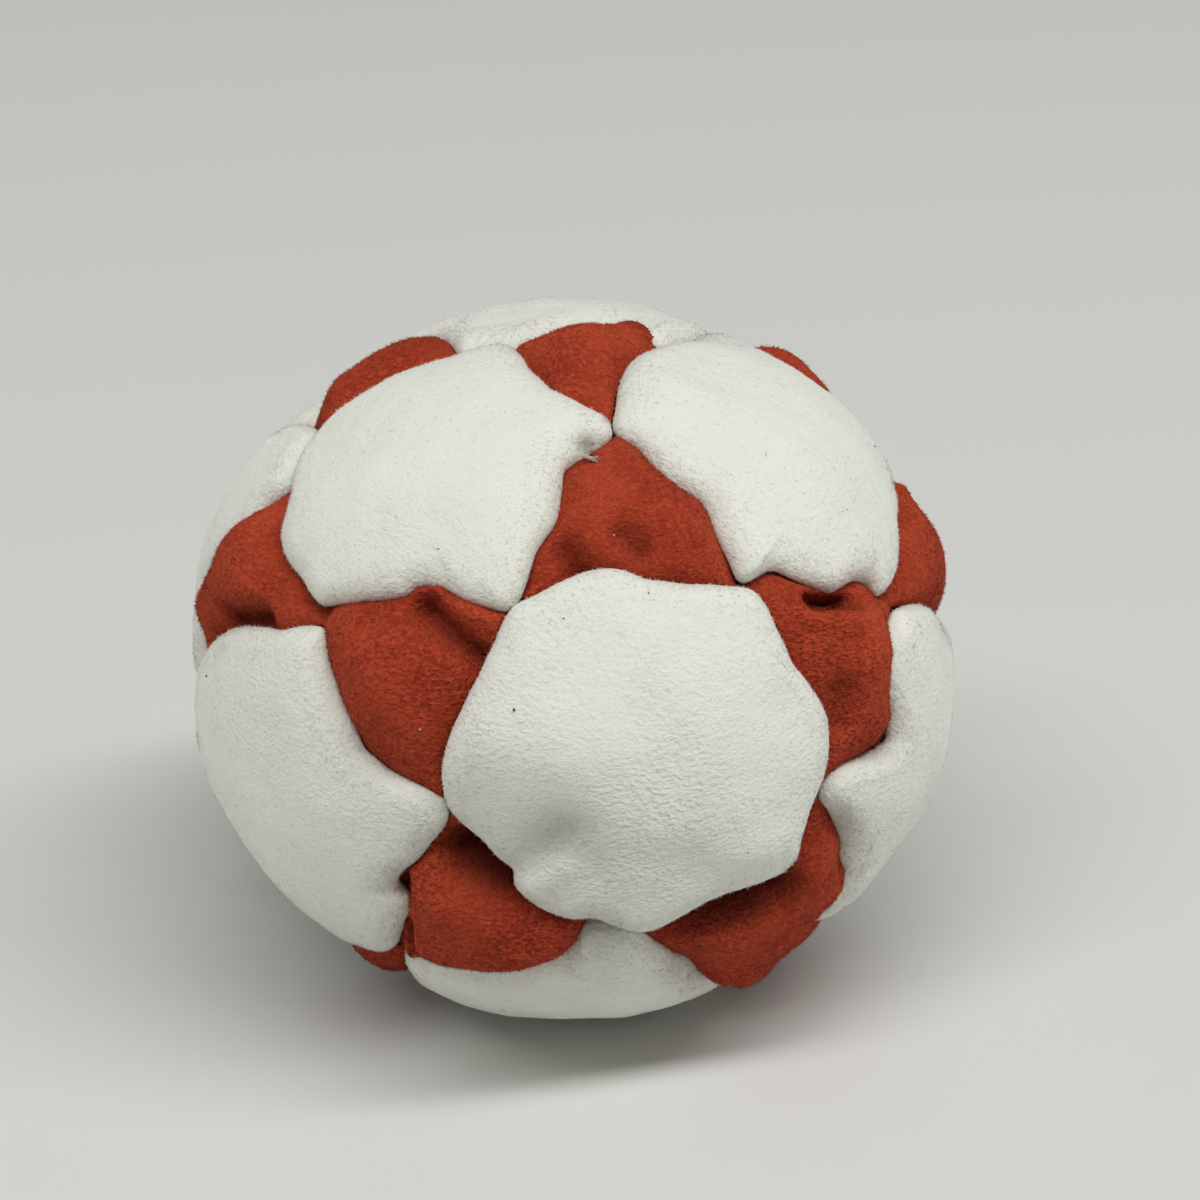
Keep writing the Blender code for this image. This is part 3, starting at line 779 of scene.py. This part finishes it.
def panel_body(plan, sizes, stitch_level, around, lift, stains_and_shades):
    """A panel's closed body: its points, its faces, and each point's shares of seam grime and painted shade,
    and of soil and painted shade.

    Its rows run from the middle out over the skin, round a quarter ellipse to the widest line, round a
    smaller one under it, down the seam allowance, and back inside, one suede thickness in, to the middle
    again. The skin swells as a membrane held at its edge. Waves and folds are added to the levels, fading
    towards the seam."""

    def rows(*parts):
        """The parts' rows one below the other, each carried round the panel."""
        return np.concatenate([part * np.ones((1, around)) for part in parts])

    angles = even_angles(plan, around)
    reach = plan.reach_at(angles)
    slope = np.gradient(plan.reach, ROUND_ANGLES[1]) / plan.reach
    slant = np.sqrt(1 + np.minimum(slope**2, STEEPEST_SQUARE))
    roll = sizes.roll_width * np.interp(angles, ROUND_ANGLES, slant, period=FULL_TURN)
    roll = np.minimum(roll, ROLL_LIMIT_SHARE * reach)
    inside = reach - sizes.tuck_width - sizes.thickness

    skin = row_shares(SKIN_ROWS)
    turn = row_shares(ROLL_ROWS) * math.pi / 2
    tuck = row_shares(TUCK_ROWS) * math.pi / 2
    inner = 1 - row_shares(INNER_ROWS)[:-1]
    reaches = rows(
        skin * (reach - roll),
        reach - roll * (1 - np.sin(turn)),
        reach - sizes.tuck_width * (1 - np.cos(tuck)),
        reach - sizes.tuck_width,
        inside,
        inside * inner,
    )
    angles = np.broadcast_to(angles, reaches.shape)
    sheet = Membrane(plan)
    bulge = sizes.crown + MORE_CROWN.get(plan.name, 0.0) * MM - sizes.shoulder
    dome = sizes.shoulder + bulge * sheet.at(angles, reaches)
    middle = sizes.shoulder + bulge * sheet.at(np.zeros(1), np.zeros(1))[0]
    drops = rows(
        0 * skin,
        sizes.roll_drop * (1 - np.cos(turn)),
        sizes.roll_drop + sizes.tuck_drop * np.sin(tuck),
    )
    edge = np.clip((inside * inner - (reach - roll)) / roll, 0, 1)
    levels = rows(
        dome[:OUTER_ROWS] - drops,
        stitch_level,
        stitch_level,
        dome[OUTER_ROWS + ALLOWANCE_ROWS:] - sizes.roll_drop * edge**2 - sizes.thickness,
    )
    keeps = rows(
        0 * skin + 1,
        WIDEST_KEEP_SHARE + (1 - WIDEST_KEEP_SHARE) * np.cos(turn),
        WIDEST_KEEP_SHARE * np.cos(tuck),
        0,
        0,
        1 - INNER_LOSS_SHARE * inner**INNER_LOSS_POWER,
    )
    # Shares of seam grime and painted shade: rising round the roll and the tuck, full down the allowance,
    # none inside
    seams = rows(
        0 * skin,
        SEAM_SHARE * np.sin(turn) ** 2,
        SEAM_SHARE + (1 - SEAM_SHARE) * np.sin(tuck),
        1,
        1,
        0 * inner,
    )

    directions = plan.directions(angles, reaches).reshape(-1, 3)
    directions = np.concatenate([[plan.middle], directions, [plan.middle]])
    levels = np.concatenate([[middle], levels.ravel(), [middle - sizes.thickness]])
    keeps = np.concatenate([[1.0], keeps.ravel(), [1.0]])
    seams = np.concatenate([[0.0], seams.ravel(), [0.0]])
    rest = directions * HALF_SIZES
    rise = lift(BAG_MIDDLE + rest)
    # Painted shade in the hollows of folds and dents, darker the deeper they sink
    crease_shade = CREASE_SHADE_SHARE * np.clip(-rise / FULL_CREASE_SHADE_DEPTH, 0, 1)
    for length, share in zip(FINE_WAVES, FINE_SHARES):
        rise = rise + sizes.undulation * share * Waves(sizes.seed, length).at(rest)
    points = bag_points(directions, levels + keeps * rise)
    # Stains and spots of painted shade, with the painted shade of the creases
    soil = np.maximum(stain_and_shade_field(stains_and_shades, points), crease_shade)
    return points, ring_faces(len(reaches), around), seams, soil


NAP_EDGE_ROWS = 6
NAP_PLACE_SEED = 300
NAP_SHAPE_SEED = 400
TIP_SHARES = (0.5, 0.5, 0.5, 1.5)


def panel_nap(sizes, points, faces, around):
    """A panel's nap: its corners, its faces, its roots' normals and the body's point beside each fibre.

    The roots are drawn at random over the outer faces, in proportion to their areas, and more closely
    towards the rolled edge."""
    outer = faces[: around * (OUTER_ROWS - 1)]
    outer = outer[outer[:, 3] >= 0]
    random = np.random.default_rng(sizes.seed + NAP_PLACE_SEED)
    spans = np.cross(points[outer[:, 2]] - points[outer[:, 0]], points[outer[:, 3]] - points[outer[:, 1]])
    areas = np.linalg.norm(spans, axis=1) / 2
    rows = np.arange(len(outer)) // around
    rolled = np.clip((rows - SKIN_ROWS + NAP_EDGE_ROWS) / NAP_EDGE_ROWS, 0, 1)
    areas = areas * (sizes.open_nap_share + (1 - sizes.open_nap_share) * rolled)
    count = int(areas.sum() / MM**2 * sizes.nap_density)
    picks = random.choice(len(outer), count, p=areas / areas.sum())
    across, along = random.uniform(size=(2, count, 1))
    corner = [points[outer[picks, place]] for place in range(4)]
    near = corner[0] * (1 - across) + corner[1] * across
    far = corner[3] * (1 - across) + corner[2] * across
    normals = unit(spans[picks])
    nap, nap_faces = fibres(
        near * (1 - along) + far * along, normals, sizes.nap_length, sizes.seed + NAP_SHAPE_SEED
    )
    return nap, nap_faces, normals, outer[picks, 0]


def panel_piece(plan, sizes, stitch_level, around, lift, stains_and_shades, material):
    """A panel as one closed body with its nap. A fibre takes its shares of seam grime and painted shade, and
    of soil and painted shade, from its root.
    """
    points, faces, seams, soil = panel_body(plan, sizes, stitch_level, around, lift, stains_and_shades)
    nap, nap_faces, normals, roots = panel_nap(sizes, points, faces, around)
    roots = np.repeat(roots, 4)
    return mesh_piece(
        plan.name + "_suede",
        np.concatenate([points, nap]),
        np.concatenate([faces, counted_on(nap_faces, len(points))]),
        material,
        {
            "seam": np.concatenate([seams, seams[roots]]),
            "soil": np.concatenate([soil, soil[roots]]),
            "nap": np.concatenate([0 * seams, np.tile(TIP_SHARES, len(normals))]),
        },
        np.concatenate([np.zeros_like(points), np.repeat(normals, 4, axis=0)]),
    )


def feed(tree, inputs, values):
    """Links each wire to its input, and sets the other inputs' values."""
    for name, value in values.items():
        if isinstance(value, Wire):
            tree.links.new(value.socket, inputs[name])
        else:
            inputs[name].default_value = value


class Wire:
    """One output socket of a shader tree. Sums and products of wires add Math nodes to the tree."""

    def __init__(self, tree, socket):
        self.tree = tree
        self.socket = socket

    def node(self, kind, settings, values, output=0):
        """Adds a node of this kind with its settings and its inputs' values or wires, and gives an output."""
        made = self.tree.nodes.new(kind)
        for name, value in settings.items():
            setattr(made, name, value)
        feed(self.tree, made.inputs, values)
        return Wire(self.tree, made.outputs[output])

    def maths(self, operation, first, second):
        """A Math node of two values."""
        return self.node("ShaderNodeMath", {"operation": operation}, {0: first, 1: second})

    def __add__(self, other):
        return self.maths("ADD", self, other)

    __radd__ = __add__

    def __rsub__(self, other):
        return self.maths("SUBTRACT", other, self)

    def __mul__(self, other):
        return self.maths("MULTIPLY", self, other)

    def between(self, low, high):
        """0 below low, 1 above high, and a smooth step between them."""
        settings = {"interpolation_type": "SMOOTHSTEP"}
        values = {"Value": self, "From Min": low, "From Max": high, "To Min": 0.0, "To Max": 1.0}
        return self.node("ShaderNodeMapRange", settings, values)

    def noise(self, scale, detail, distortion=0.0):
        """Random clouds at this place, their scale in clouds a metre."""
        values = {"Vector": self, "Scale": scale, "Detail": detail, "Distortion": distortion}
        return self.node("ShaderNodeTexNoise", {}, values)

    def patches(self, scale, detail, low, high):
        """Random clouds that show where their values rise from low to high."""
        return self.noise(scale, detail).between(low, high)

    def mixed(self, share, first, second):
        """The first colour, giving way to the second by a share."""
        settings = {"data_type": "RGBA", "clamp_factor": True}
        return self.node("ShaderNodeMix", settings, {0: share, 6: first, 7: second}, 2)

    def bumps(self, strength, distance):
        """The normal of a surface that this height raises."""
        return self.node("ShaderNodeBump", {}, {"Strength": strength, "Distance": distance, "Height": self})


def new_material(name):
    """A new material and a wire that starts at the object's coordinates."""
    material = bpy.data.materials.new(name)
    material.use_nodes = True
    return material, Wire(material.node_tree, None).node("ShaderNodeTexCoord", {}, {}, "Object")


def surfaced(material, values):
    """The material, with values and wires fed to its surface shader."""
    feed(material.node_tree, material.node_tree.nodes["Principled BSDF"].inputs, values)
    return material


def rgba(colour, factor=1.0):
    """A colour times a factor, with full alpha."""
    return (*[channel * factor for channel in colour], 1.0)


# The look of each suede's nap: the colour of its hollows, which also paints shade in them, the colour of its
# fibres' tips, which also paints highlights on the ripples' crests, the colour of grime and painted shade,
# how strongly ripples show in its colour and in its relief, its sheen, and how many ripples there are in a
# metre
WHITE_NAP = {
    "shade": (0.75, 0.755, 0.68),
    "light": (0.81, 0.81, 0.75),
    "grime_and_shade": (0.52, 0.47, 0.34),
    "contrast": 0.05,
    "relief": 0.52,
    "sheen": 0.8,
    "fineness": 3300.0,
}
RED_NAP = {
    "shade": (0.31, 0.032, 0.013),
    "light": (0.49, 0.082, 0.033),
    "grime_and_shade": (0.13, 0.015, 0.008),
    "contrast": 0.62,
    "relief": 0.95,
    "sheen": 0.2,
    "fineness": 4200.0,
}

# Patterns in the suedes: clouds a metre, detail, and the values between which a pattern comes in
MOTTLE = (170.0, 2.0, 0.3, 0.7)
RUFFLED = (120.0, 1.0, 0.25, 0.65)
# Patches where seam grime and painted shade are heavier
SEAM_PATCHES = (220.0, 2.0, 0.35, 0.65)
FUZZ_SCALE = 5600.0
LUMP_SCALE = 1100.0
NAP_STRETCH = (0.7, 0.7, 1.0)
RIPPLE_BEND = 0.3
CREST_BAND = (0.5, 0.75)
HOLLOW_BAND = (0.0, 0.15)
TIP_BAND = (0.3, 1.5)
SMOOTH_HEIGHTS = (0.026, 0.044)
SMOOTH_SHARE = 0.6
CALM_SHARE = 0.1
# Darkness of the painted shade in the ripples' hollows, against the shade colour
HOLLOW_SHARE = 0.42
TIP_SHARE = 0.5
# Seam grime and painted shade: the least share, and more in patches
SEAM_GRIME_AND_SHADE_SHARES = (0.15, 0.4)
# Strength and darkness of soil and of painted shade in creases, a pocket and holes
SOIL_AND_SHADE_SHARE = 0.9
SOIL_AND_SHADE_DARK_SHARE = 0.4
RIPPLE_SHARES = (0.5, 0.8)
FUZZ_SHARE = 0.5
LUMP_SHARE = 0.4
NAP_RELIEF = 0.24 * MM


def suede(name, colour, shade, light, grime_and_shade, contrast, relief, sheen, fineness):
    """Napped suede: soft mottling, ripples in the nap that run level and come and go, with lighter crests and
    darker hollows, partly the nap's own tone and partly painted highlight and shade, paler fibre tips, grime
    and painted shade in the seams, stains, and painted shade in creases, a pocket and holes. The ripples fade
    towards the top."""
    material, place = new_material(name)
    nap, seam, soil = (
        place.node("ShaderNodeAttribute", {"attribute_name": title}, {}, "Fac")
        for title in ("nap", "seam", "soil")
    )
    height = place.node("ShaderNodeSeparateXYZ", {}, {"Vector": place}, "Z")
    level = place.node("ShaderNodeMapping", {}, {"Vector": place, "Scale": NAP_STRETCH})
    ripples = level.noise(fineness, 1.0, RIPPLE_BEND)
    ruffled = place.patches(*RUFFLED) * (1.0 - height.between(*SMOOTH_HEIGHTS) * SMOOTH_SHARE)
    # Where painted shade falls in the ripples' hollows
    hollow_shade = (0.5 - ripples).between(*HOLLOW_BAND) * (CALM_SHARE + ruffled * (1 - CALM_SHARE))
    base = place.mixed(place.patches(*MOTTLE), rgba(shade), rgba(colour))
    # Lighter crests and darker hollows: partly the nap's own tone, partly painted highlight and shade of the
    # ripples
    base = base.mixed(ripples.between(*CREST_BAND) * contrast, base, rgba(light))
    base = base.mixed(hollow_shade * contrast, base, rgba(shade, HOLLOW_SHARE))
    base = base.mixed(nap.between(*TIP_BAND) * TIP_SHARE, base, rgba(light))
    # Grime and painted shade towards the seams, uneven in patches
    least, more = SEAM_GRIME_AND_SHADE_SHARES
    base = base.mixed(seam * (least + place.patches(*SEAM_PATCHES) * more), base, rgba(grime_and_shade))
    # Stains, and painted shade in creases, a pocket and holes
    base = base.mixed(soil * SOIL_AND_SHADE_SHARE, base, rgba(grime_and_shade, SOIL_AND_SHADE_DARK_SHARE))
    least, more = RIPPLE_SHARES
    fuzz = place.noise(FUZZ_SCALE, 1.0) * FUZZ_SHARE
    lumps = ripples * (least + ruffled * more) + fuzz + level.noise(LUMP_SCALE, 0.0) * LUMP_SHARE
    return surfaced(material, {
        "Base Color": base,
        "Normal": lumps.bumps(relief, NAP_RELIEF),
        "Roughness": 0.95,
        "Specular IOR Level": 0.15,
        "Sheen Weight": sheen,
        "Sheen Roughness": 0.5,
        "Sheen Tint": rgba(light),
    })


SPECK_SCALE = 9000.0
SPECK_SHARES = (0.6, 1.2)
STRAND_SCALE = 5200.0
STRAND_BEND = 0.6
STRAND_BAND = (0.35, 0.65)
STRAND_DARK_SHARE = 0.7
STRAND_RELIEF = 0.1 * MM
THREAD_BUMPS = 0.6
SAND_SCALE = 2400.0
SAND_SHARES = (0.55, 1.15)
SAND_RELIEF = 0.2 * MM
SAND_BUMPS = 0.8


def plain_finish(name, colour, roughness):
    """A small grain or crumb: one colour, a little uneven."""
    material, place = new_material(name)
    dark, light = (rgba(colour, share) for share in SPECK_SHARES)
    base = place.mixed(place.noise(SPECK_SCALE, 1.0), dark, light)
    return surfaced(material, {"Base Color": base, "Roughness": roughness})


def plain_thread(name, colour):
    """Twisted thread: fine slanting strands of lighter and darker fibre."""
    material, place = new_material(name)
    strands = place.noise(STRAND_SCALE, 2.0, STRAND_BEND).between(*STRAND_BAND)
    base = place.mixed(strands, rgba(colour, STRAND_DARK_SHARE), rgba(colour))
    bumps = strands.bumps(THREAD_BUMPS, STRAND_RELIEF)
    return surfaced(material, {"Base Color": base, "Normal": bumps, "Roughness": 0.75})


def sand(name, colour):
    """Dry sand: grains of several tans and a bumpy surface."""
    material, place = new_material(name)
    tone, lump = (
        place.node("ShaderNodeTexVoronoi", {"feature": "F1"}, {"Vector": place, "Scale": SAND_SCALE}, output)
        for output in ("Color", "Distance")
    )
    tone = tone.node("ShaderNodeSeparateColor", {}, {"Color": tone})
    dark, light = (rgba(colour, share) for share in SAND_SHARES)
    base = place.mixed(tone, dark, light)
    bumps = (1.0 - lump).bumps(SAND_BUMPS, SAND_RELIEF)
    return surfaced(material, {"Base Color": base, "Normal": bumps, "Roughness": 0.85})


WHITE_NAMES = [f"white_panel_{number:02d}" for number in range(1, 13)]
RED_NAMES = [f"red_panel_{number:02d}" for number in range(1, 21)]
WHITE_AROUND = 240
RED_AROUND = 180
WHITE_SEED = 40
RED_SEED = 90
FACING_SINE = 0.05


def plans_of_panels():
    """The plans of the white and of the red panels. A red one lies among its three nearest white ones."""
    sizes = bpy.context.scene.footbag.white
    whites = [Plan(name, middle) for name, middle in zip(WHITE_NAMES, panel_middles(WHITE_NAMES))]
    for number, white in enumerate(whites):
        white.reach = seen_reach(white, solid_reach(white, WHITE_SEED + number), sizes)
    reds = [Plan(name, middle) for name, middle in zip(RED_NAMES, panel_middles(RED_NAMES))]
    for red in reds:
        near = sorted(whites, key=lambda white: -(white.middle @ red.middle))[:3]
        red.corners = [corner_between(near[one], near[other]) for one, other in ((0, 1), (1, 2), (0, 2))]
        red.reach = red_reach(red, near)
    return whites, reds


def faces_camera(plan):
    """Whether a panel's middle leans towards the camera by more than FACING_SINE."""
    return plan.middle @ unit(camera_place() - BAG_MIDDLE) > FACING_SINE


class FOOTBAG_OT_white_panels(bpy.types.Operator):
    """Makes the 12 white suede panels"""

    bl_idname = "footbag.white_panels"
    bl_label = "White panels"

    def execute(self, context):
        settings = context.scene.footbag
        material = suede("white_suede", settings.white_colour, **WHITE_NAP)
        for plan in plans_of_panels()[0]:
            def lift(points):
                return fold_field(WHITE_FOLDS, WHITE_FOLD_LEVEL, points)

            piece = panel_piece(
                plan, settings.white, settings.stitch_level, WHITE_AROUND, lift, WHITE_STAINS_AND_SHADES, material
            )
            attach(piece, "root")
            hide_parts(plan.name)
        return {"FINISHED"}


class FOOTBAG_OT_red_panels(bpy.types.Operator):
    """Makes the 20 red suede panels"""

    bl_idname = "footbag.red_panels"
    bl_label = "Red panels"

    def execute(self, context):
        settings = context.scene.footbag
        material = suede("red_suede", settings.red_colour, **RED_NAP)
        for number, plan in enumerate(plans_of_panels()[1]):
            def lift(points):
                if faces_camera(plan):
                    return fold_field(RED_FOLDS, RED_FOLD_LEVEL, points)
                return hidden_folds(plan, points, RED_SEED + number)

            piece = panel_piece(
                plan, settings.red, settings.stitch_level, RED_AROUND, lift, RED_STAINS_AND_SHADES, material
            )
            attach(piece, "root")
            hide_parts(plan.name)
        return {"FINISHED"}


STRANDS = 5
STRAND_RADIUS = 0.055 * MM
STRAND_CIRCLE = 0.075 * MM
STRAND_TURNS = 2.5
STRAND_STEPS = 70
STRAND_SIDES = 6
STRAND_SEED = 3
ROUTE_SMOOTHINGS = 6
FRAY = 0.22 * MM
FRAY_POWER = 1.5
FRAY_SHARES = (0.4, 1.2)
FRAY_START_SHARE = 0.72
TAPER_START_SHARE = 0.8
TAPER_SHARE = 0.5


def closing_stitch(material):
    """The closing stitch: fine strands twisted round one route. Each strand's middle circles the route at a
    small distance, which grows towards the cut end, where the strands taper and fray apart."""
    knots = np.array([pixel_point(pixel, level * MM) for pixel, level in STITCH_ROUTE])
    share = np.linspace(0, 1, STRAND_STEPS)
    stations = np.linspace(0, 1, len(knots))
    route = np.stack([np.interp(share, stations, knots[:, axis]) for axis in range(3)], 1)
    for _ in range(ROUTE_SMOOTHINGS):
        route[1:-1] = (route[:-2] + 2 * route[1:-1] + route[2:]) / 4
    along = unit(np.gradient(route, axis=0))
    outward = unit(route)
    first = unit(outward - (outward * along).sum(1, keepdims=True) * along)
    second = np.cross(along, first)
    sides = round_angles(STRAND_SIDES)[:, None]
    across = np.cos(sides) * first[:, None] + np.sin(sides) * second[:, None]
    frayed = np.clip((share - FRAY_START_SHARE) / (1 - FRAY_START_SHARE), 0, 1) ** FRAY_POWER
    tapered = np.clip((share - TAPER_START_SHARE) / (1 - TAPER_START_SHARE), 0, 1)
    width = STRAND_RADIUS * (1 - TAPER_SHARE * tapered)[:, None, None]
    random = np.random.default_rng(STRAND_SEED)
    points, faces = [], []
    for start in round_angles(STRANDS):
        phase = (start + STRAND_TURNS * FULL_TURN * share)[:, None]
        circle = (STRAND_CIRCLE + FRAY * frayed * random.uniform(*FRAY_SHARES))[:, None]
        middle = route + circle * (np.cos(phase) * first + np.sin(phase) * second)
        rings = (middle[:, None] + width * across).reshape(-1, 3)
        shift = sum(len(part) for part in points)
        faces.append(counted_on(ring_faces(STRAND_STEPS, STRAND_SIDES), shift))
        points.append(np.concatenate([[middle[0]], rings, [middle[-1]]]))
    return mesh_piece("closing_stitch", np.concatenate(points), np.concatenate(faces), material, {})


FILLING_LEVEL = -4.6 * MM
FILLING_ROWS = 60
FILLING_AROUND = 120
FILLING_LUMP = 0.3 * MM
FILLING_LUMP_LENGTH = 2.5 * MM
FILLING_SEED = 7


def filling_piece(material):
    """The filling: a round body below the seam allowances, its surface lumpy with settled grains."""
    polar = np.arange(1, FILLING_ROWS) / FILLING_ROWS * math.pi
    tilt, turn = np.meshgrid(polar, round_angles(FILLING_AROUND), indexing="ij")
    directions = np.stack([np.sin(tilt) * np.cos(turn), np.sin(tilt) * np.sin(turn), np.cos(tilt)], -1)
    directions = np.concatenate([[[0, 0, 1.0]], directions.reshape(-1, 3), [[0, 0, -1.0]]])
    lumps = FILLING_LUMP * Waves(FILLING_SEED, FILLING_LUMP_LENGTH).at(directions * HALF_SIZES)
    points = bag_points(directions, FILLING_LEVEL + lumps)
    faces = ring_faces(FILLING_ROWS - 1, FILLING_AROUND)
    return mesh_piece("sand_filling_grains", points, faces, material, {})


SEAM_THREAD_COLOUR = (0.72, 0.70, 0.64)
CLOSING_THREAD_COLOUR = (0.62, 0.58, 0.46)
SAND_COLOUR = (0.62, 0.52, 0.38)


class FOOTBAG_OT_filling(bpy.types.Operator):
    """Makes the closing stitch and the filling, and gives the seam threads their finish"""

    bl_idname = "footbag.filling"
    bl_label = "Threads and filling"

    def execute(self, context):
        thread = plain_thread("seam_thread", SEAM_THREAD_COLOUR)
        for name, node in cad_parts.items():
            if name.startswith("seam_thread"):
                node.data.materials.clear()
                node.data.materials.append(thread)
        stitch = closing_stitch(plain_thread("closing_thread", CLOSING_THREAD_COLOUR))
        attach(stitch, "root")
        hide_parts("closing_knot")
        piece = filling_piece(sand("dry_sand", SAND_COLOUR))
        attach(piece, "root")
        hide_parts("sand_filling")
        return {"FINISHED"}


GRAIN_CORNERS = ((1, 0, 0), (0, 1, 0), (-1, 0, 0), (0, -1, 0), (0, 0, 1), (0, 0, -1))
GRAIN_SIDES = ((0, 1, 4), (1, 2, 4), (2, 3, 4), (3, 0, 4), (1, 0, 5), (2, 1, 5), (3, 2, 5), (0, 3, 5))
GRAIN_CORNER_SHARES = (0.6, 1.1)
DARK_GRAIN_SEED = 11
PALE_GRAIN_SEED = 12
DARK_GRAIN_LEVEL = 0.55 * MM
PALE_GRAIN_LEVEL = 0.15 * MM
DARK_GRAIN_COLOUR = (0.06, 0.055, 0.05)
PALE_GRAIN_COLOUR = (0.62, 0.50, 0.36)


def grains_piece(name, grains, seed, level, material):
    """Grains lying in the nap: each an eight-sided lump with its six corners at uneven distances."""
    random = np.random.default_rng(seed)
    corners = np.array(GRAIN_CORNERS, float)
    sides = np.concatenate([np.array(GRAIN_SIDES), np.full((len(GRAIN_SIDES), 1), -1)], 1)
    points, faces = [], []
    for number, (pixel, size) in enumerate(grains):
        lengths = size * MM * random.uniform(*GRAIN_CORNER_SHARES, (len(corners), 1))
        points.append(pixel_point(pixel, level) + corners * lengths)
        faces.append(counted_on(sides, len(corners) * number))
    return mesh_piece(name, np.concatenate(points), np.concatenate(faces), material, {})


class FOOTBAG_OT_grains(bpy.types.Operator):
    """Makes the grains caught in the nap"""

    bl_idname = "footbag.grains"
    bl_label = "Grains in the nap"

    def execute(self, context):
        dark = plain_finish("dark_grain", DARK_GRAIN_COLOUR, 0.7)
        pale = plain_finish("pale_crumb", PALE_GRAIN_COLOUR, 0.8)
        for piece in (
            grains_piece("dark_grains", DARK_GRAINS, DARK_GRAIN_SEED, DARK_GRAIN_LEVEL, dark),
            grains_piece("pale_grains", PALE_GRAINS, PALE_GRAIN_SEED, PALE_GRAIN_LEVEL, pale),
        ):
            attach(piece, "root")
        return {"FINISHED"}


# Each lamp's name, the setting that holds its power, its width and depth, and its place
LAMPS = (
    ("key_lamp", "key_power", (2.0, 0.20), (0.12, -0.41, 1.12)),
    ("overhead_lamp", "overhead_power", (0.7, 0.7), (0.02, 0.18, 0.68)),
    ("left_lamp", "left_power", (0.6, 0.6), (-1.2, -0.05, 0.12)),
    ("right_lamp", "right_power", (0.6, 0.6), (1.18, -0.28, 0.06)),
)
FLOOR_SIZE = 6.0
NEAREST_SEEN = 0.01


def add_lamp(name, power, size, place):
    """A lamp with a width and a depth at a place, turned to the bag's middle."""
    lamp = bpy.data.lights.new(name, "AREA")
    lamp.shape = "RECTANGLE"
    lamp.size, lamp.size_y = size
    lamp.energy = power
    holder = bpy.data.objects.new(name, lamp)
    holder.location = place
    aim = Vector(BAG_MIDDLE) - holder.location
    holder.rotation_euler = aim.to_track_quat("-Z", "Y").to_euler()
    bpy.context.scene.collection.objects.link(holder)


class FOOTBAG_OT_stage(bpy.types.Operator):
    """Makes the floor, the lamps, the sky and the camera"""

    bl_idname = "footbag.stage"
    bl_label = "Stage"

    def execute(self, context):
        settings = context.scene.footbag
        bpy.ops.mesh.primitive_plane_add(size=FLOOR_SIZE)
        floor = context.active_object
        floor.name = "floor"
        paper = {"Base Color": rgba(settings.floor_colour), "Roughness": 0.9, "Specular IOR Level": 0.2}
        floor.data.materials.append(surfaced(new_material("floor_paper")[0], paper))

        for name, power, size, place in LAMPS:
            add_lamp(name, getattr(settings, power), size, place)

        world = bpy.data.worlds.new("sky")
        world.use_nodes = True
        sky = world.node_tree.nodes["Background"]
        sky.inputs["Color"].default_value = (1.0, 1.0, 1.0, 1.0)
        sky.inputs["Strength"].default_value = settings.sky_strength
        context.scene.world = world

        view = bpy.data.cameras.new("camera")
        view.sensor_width = SENSOR_WIDTH
        view.lens = SENSOR_WIDTH * FOCAL_PIXELS / PHOTO_PIXELS
        view.clip_start = NEAREST_SEEN
        camera = bpy.data.objects.new("camera", view)
        camera.location = camera_place()
        camera.rotation_euler = (math.pi / 2 - CAMERA_ELEVATION, 0, 0)
        context.scene.collection.objects.link(camera)
        context.scene.camera = camera
        context.scene.view_settings.view_transform = "Standard"
        return {"FINISHED"}


class FOOTBAG_PT_sidebar(bpy.types.Panel):
    """Lists the footbag's pieces, its colours and its light"""

    bl_idname = "FOOTBAG_PT_sidebar"
    bl_label = "Footbag"
    bl_space_type = "VIEW_3D"
    bl_region_type = "UI"
    bl_category = "Footbag"

    def draw(self, context):
        for operator in OPERATORS:
            self.layout.operator(operator.bl_idname)
        for name in SIDEBAR_SETTINGS:
            self.layout.prop(context.scene.footbag, name)


OPERATORS = (
    FOOTBAG_OT_white_panels,
    FOOTBAG_OT_red_panels,
    FOOTBAG_OT_filling,
    FOOTBAG_OT_grains,
    FOOTBAG_OT_stage,
)
SIDEBAR_SETTINGS = (
    "white_colour", "red_colour", "floor_colour",
    "key_power", "overhead_power", "left_power", "right_power", "sky_strength",
)
CLASSES = (WhiteSizes, RedSizes, FootbagSettings, *OPERATORS, FOOTBAG_PT_sidebar)


def register():
    for entry in CLASSES:
        bpy.utils.register_class(entry)
    bpy.types.Scene.footbag = PointerProperty(type=FootbagSettings)


def unregister():
    del bpy.types.Scene.footbag
    for entry in reversed(CLASSES):
        bpy.utils.unregister_class(entry)


def main():
    register()
    bpy.ops.footbag.white_panels()
    bpy.ops.footbag.red_panels()
    bpy.ops.footbag.filling()
    bpy.ops.footbag.grains()
    bpy.ops.footbag.stage()


if __name__ == "__main__":
    main()
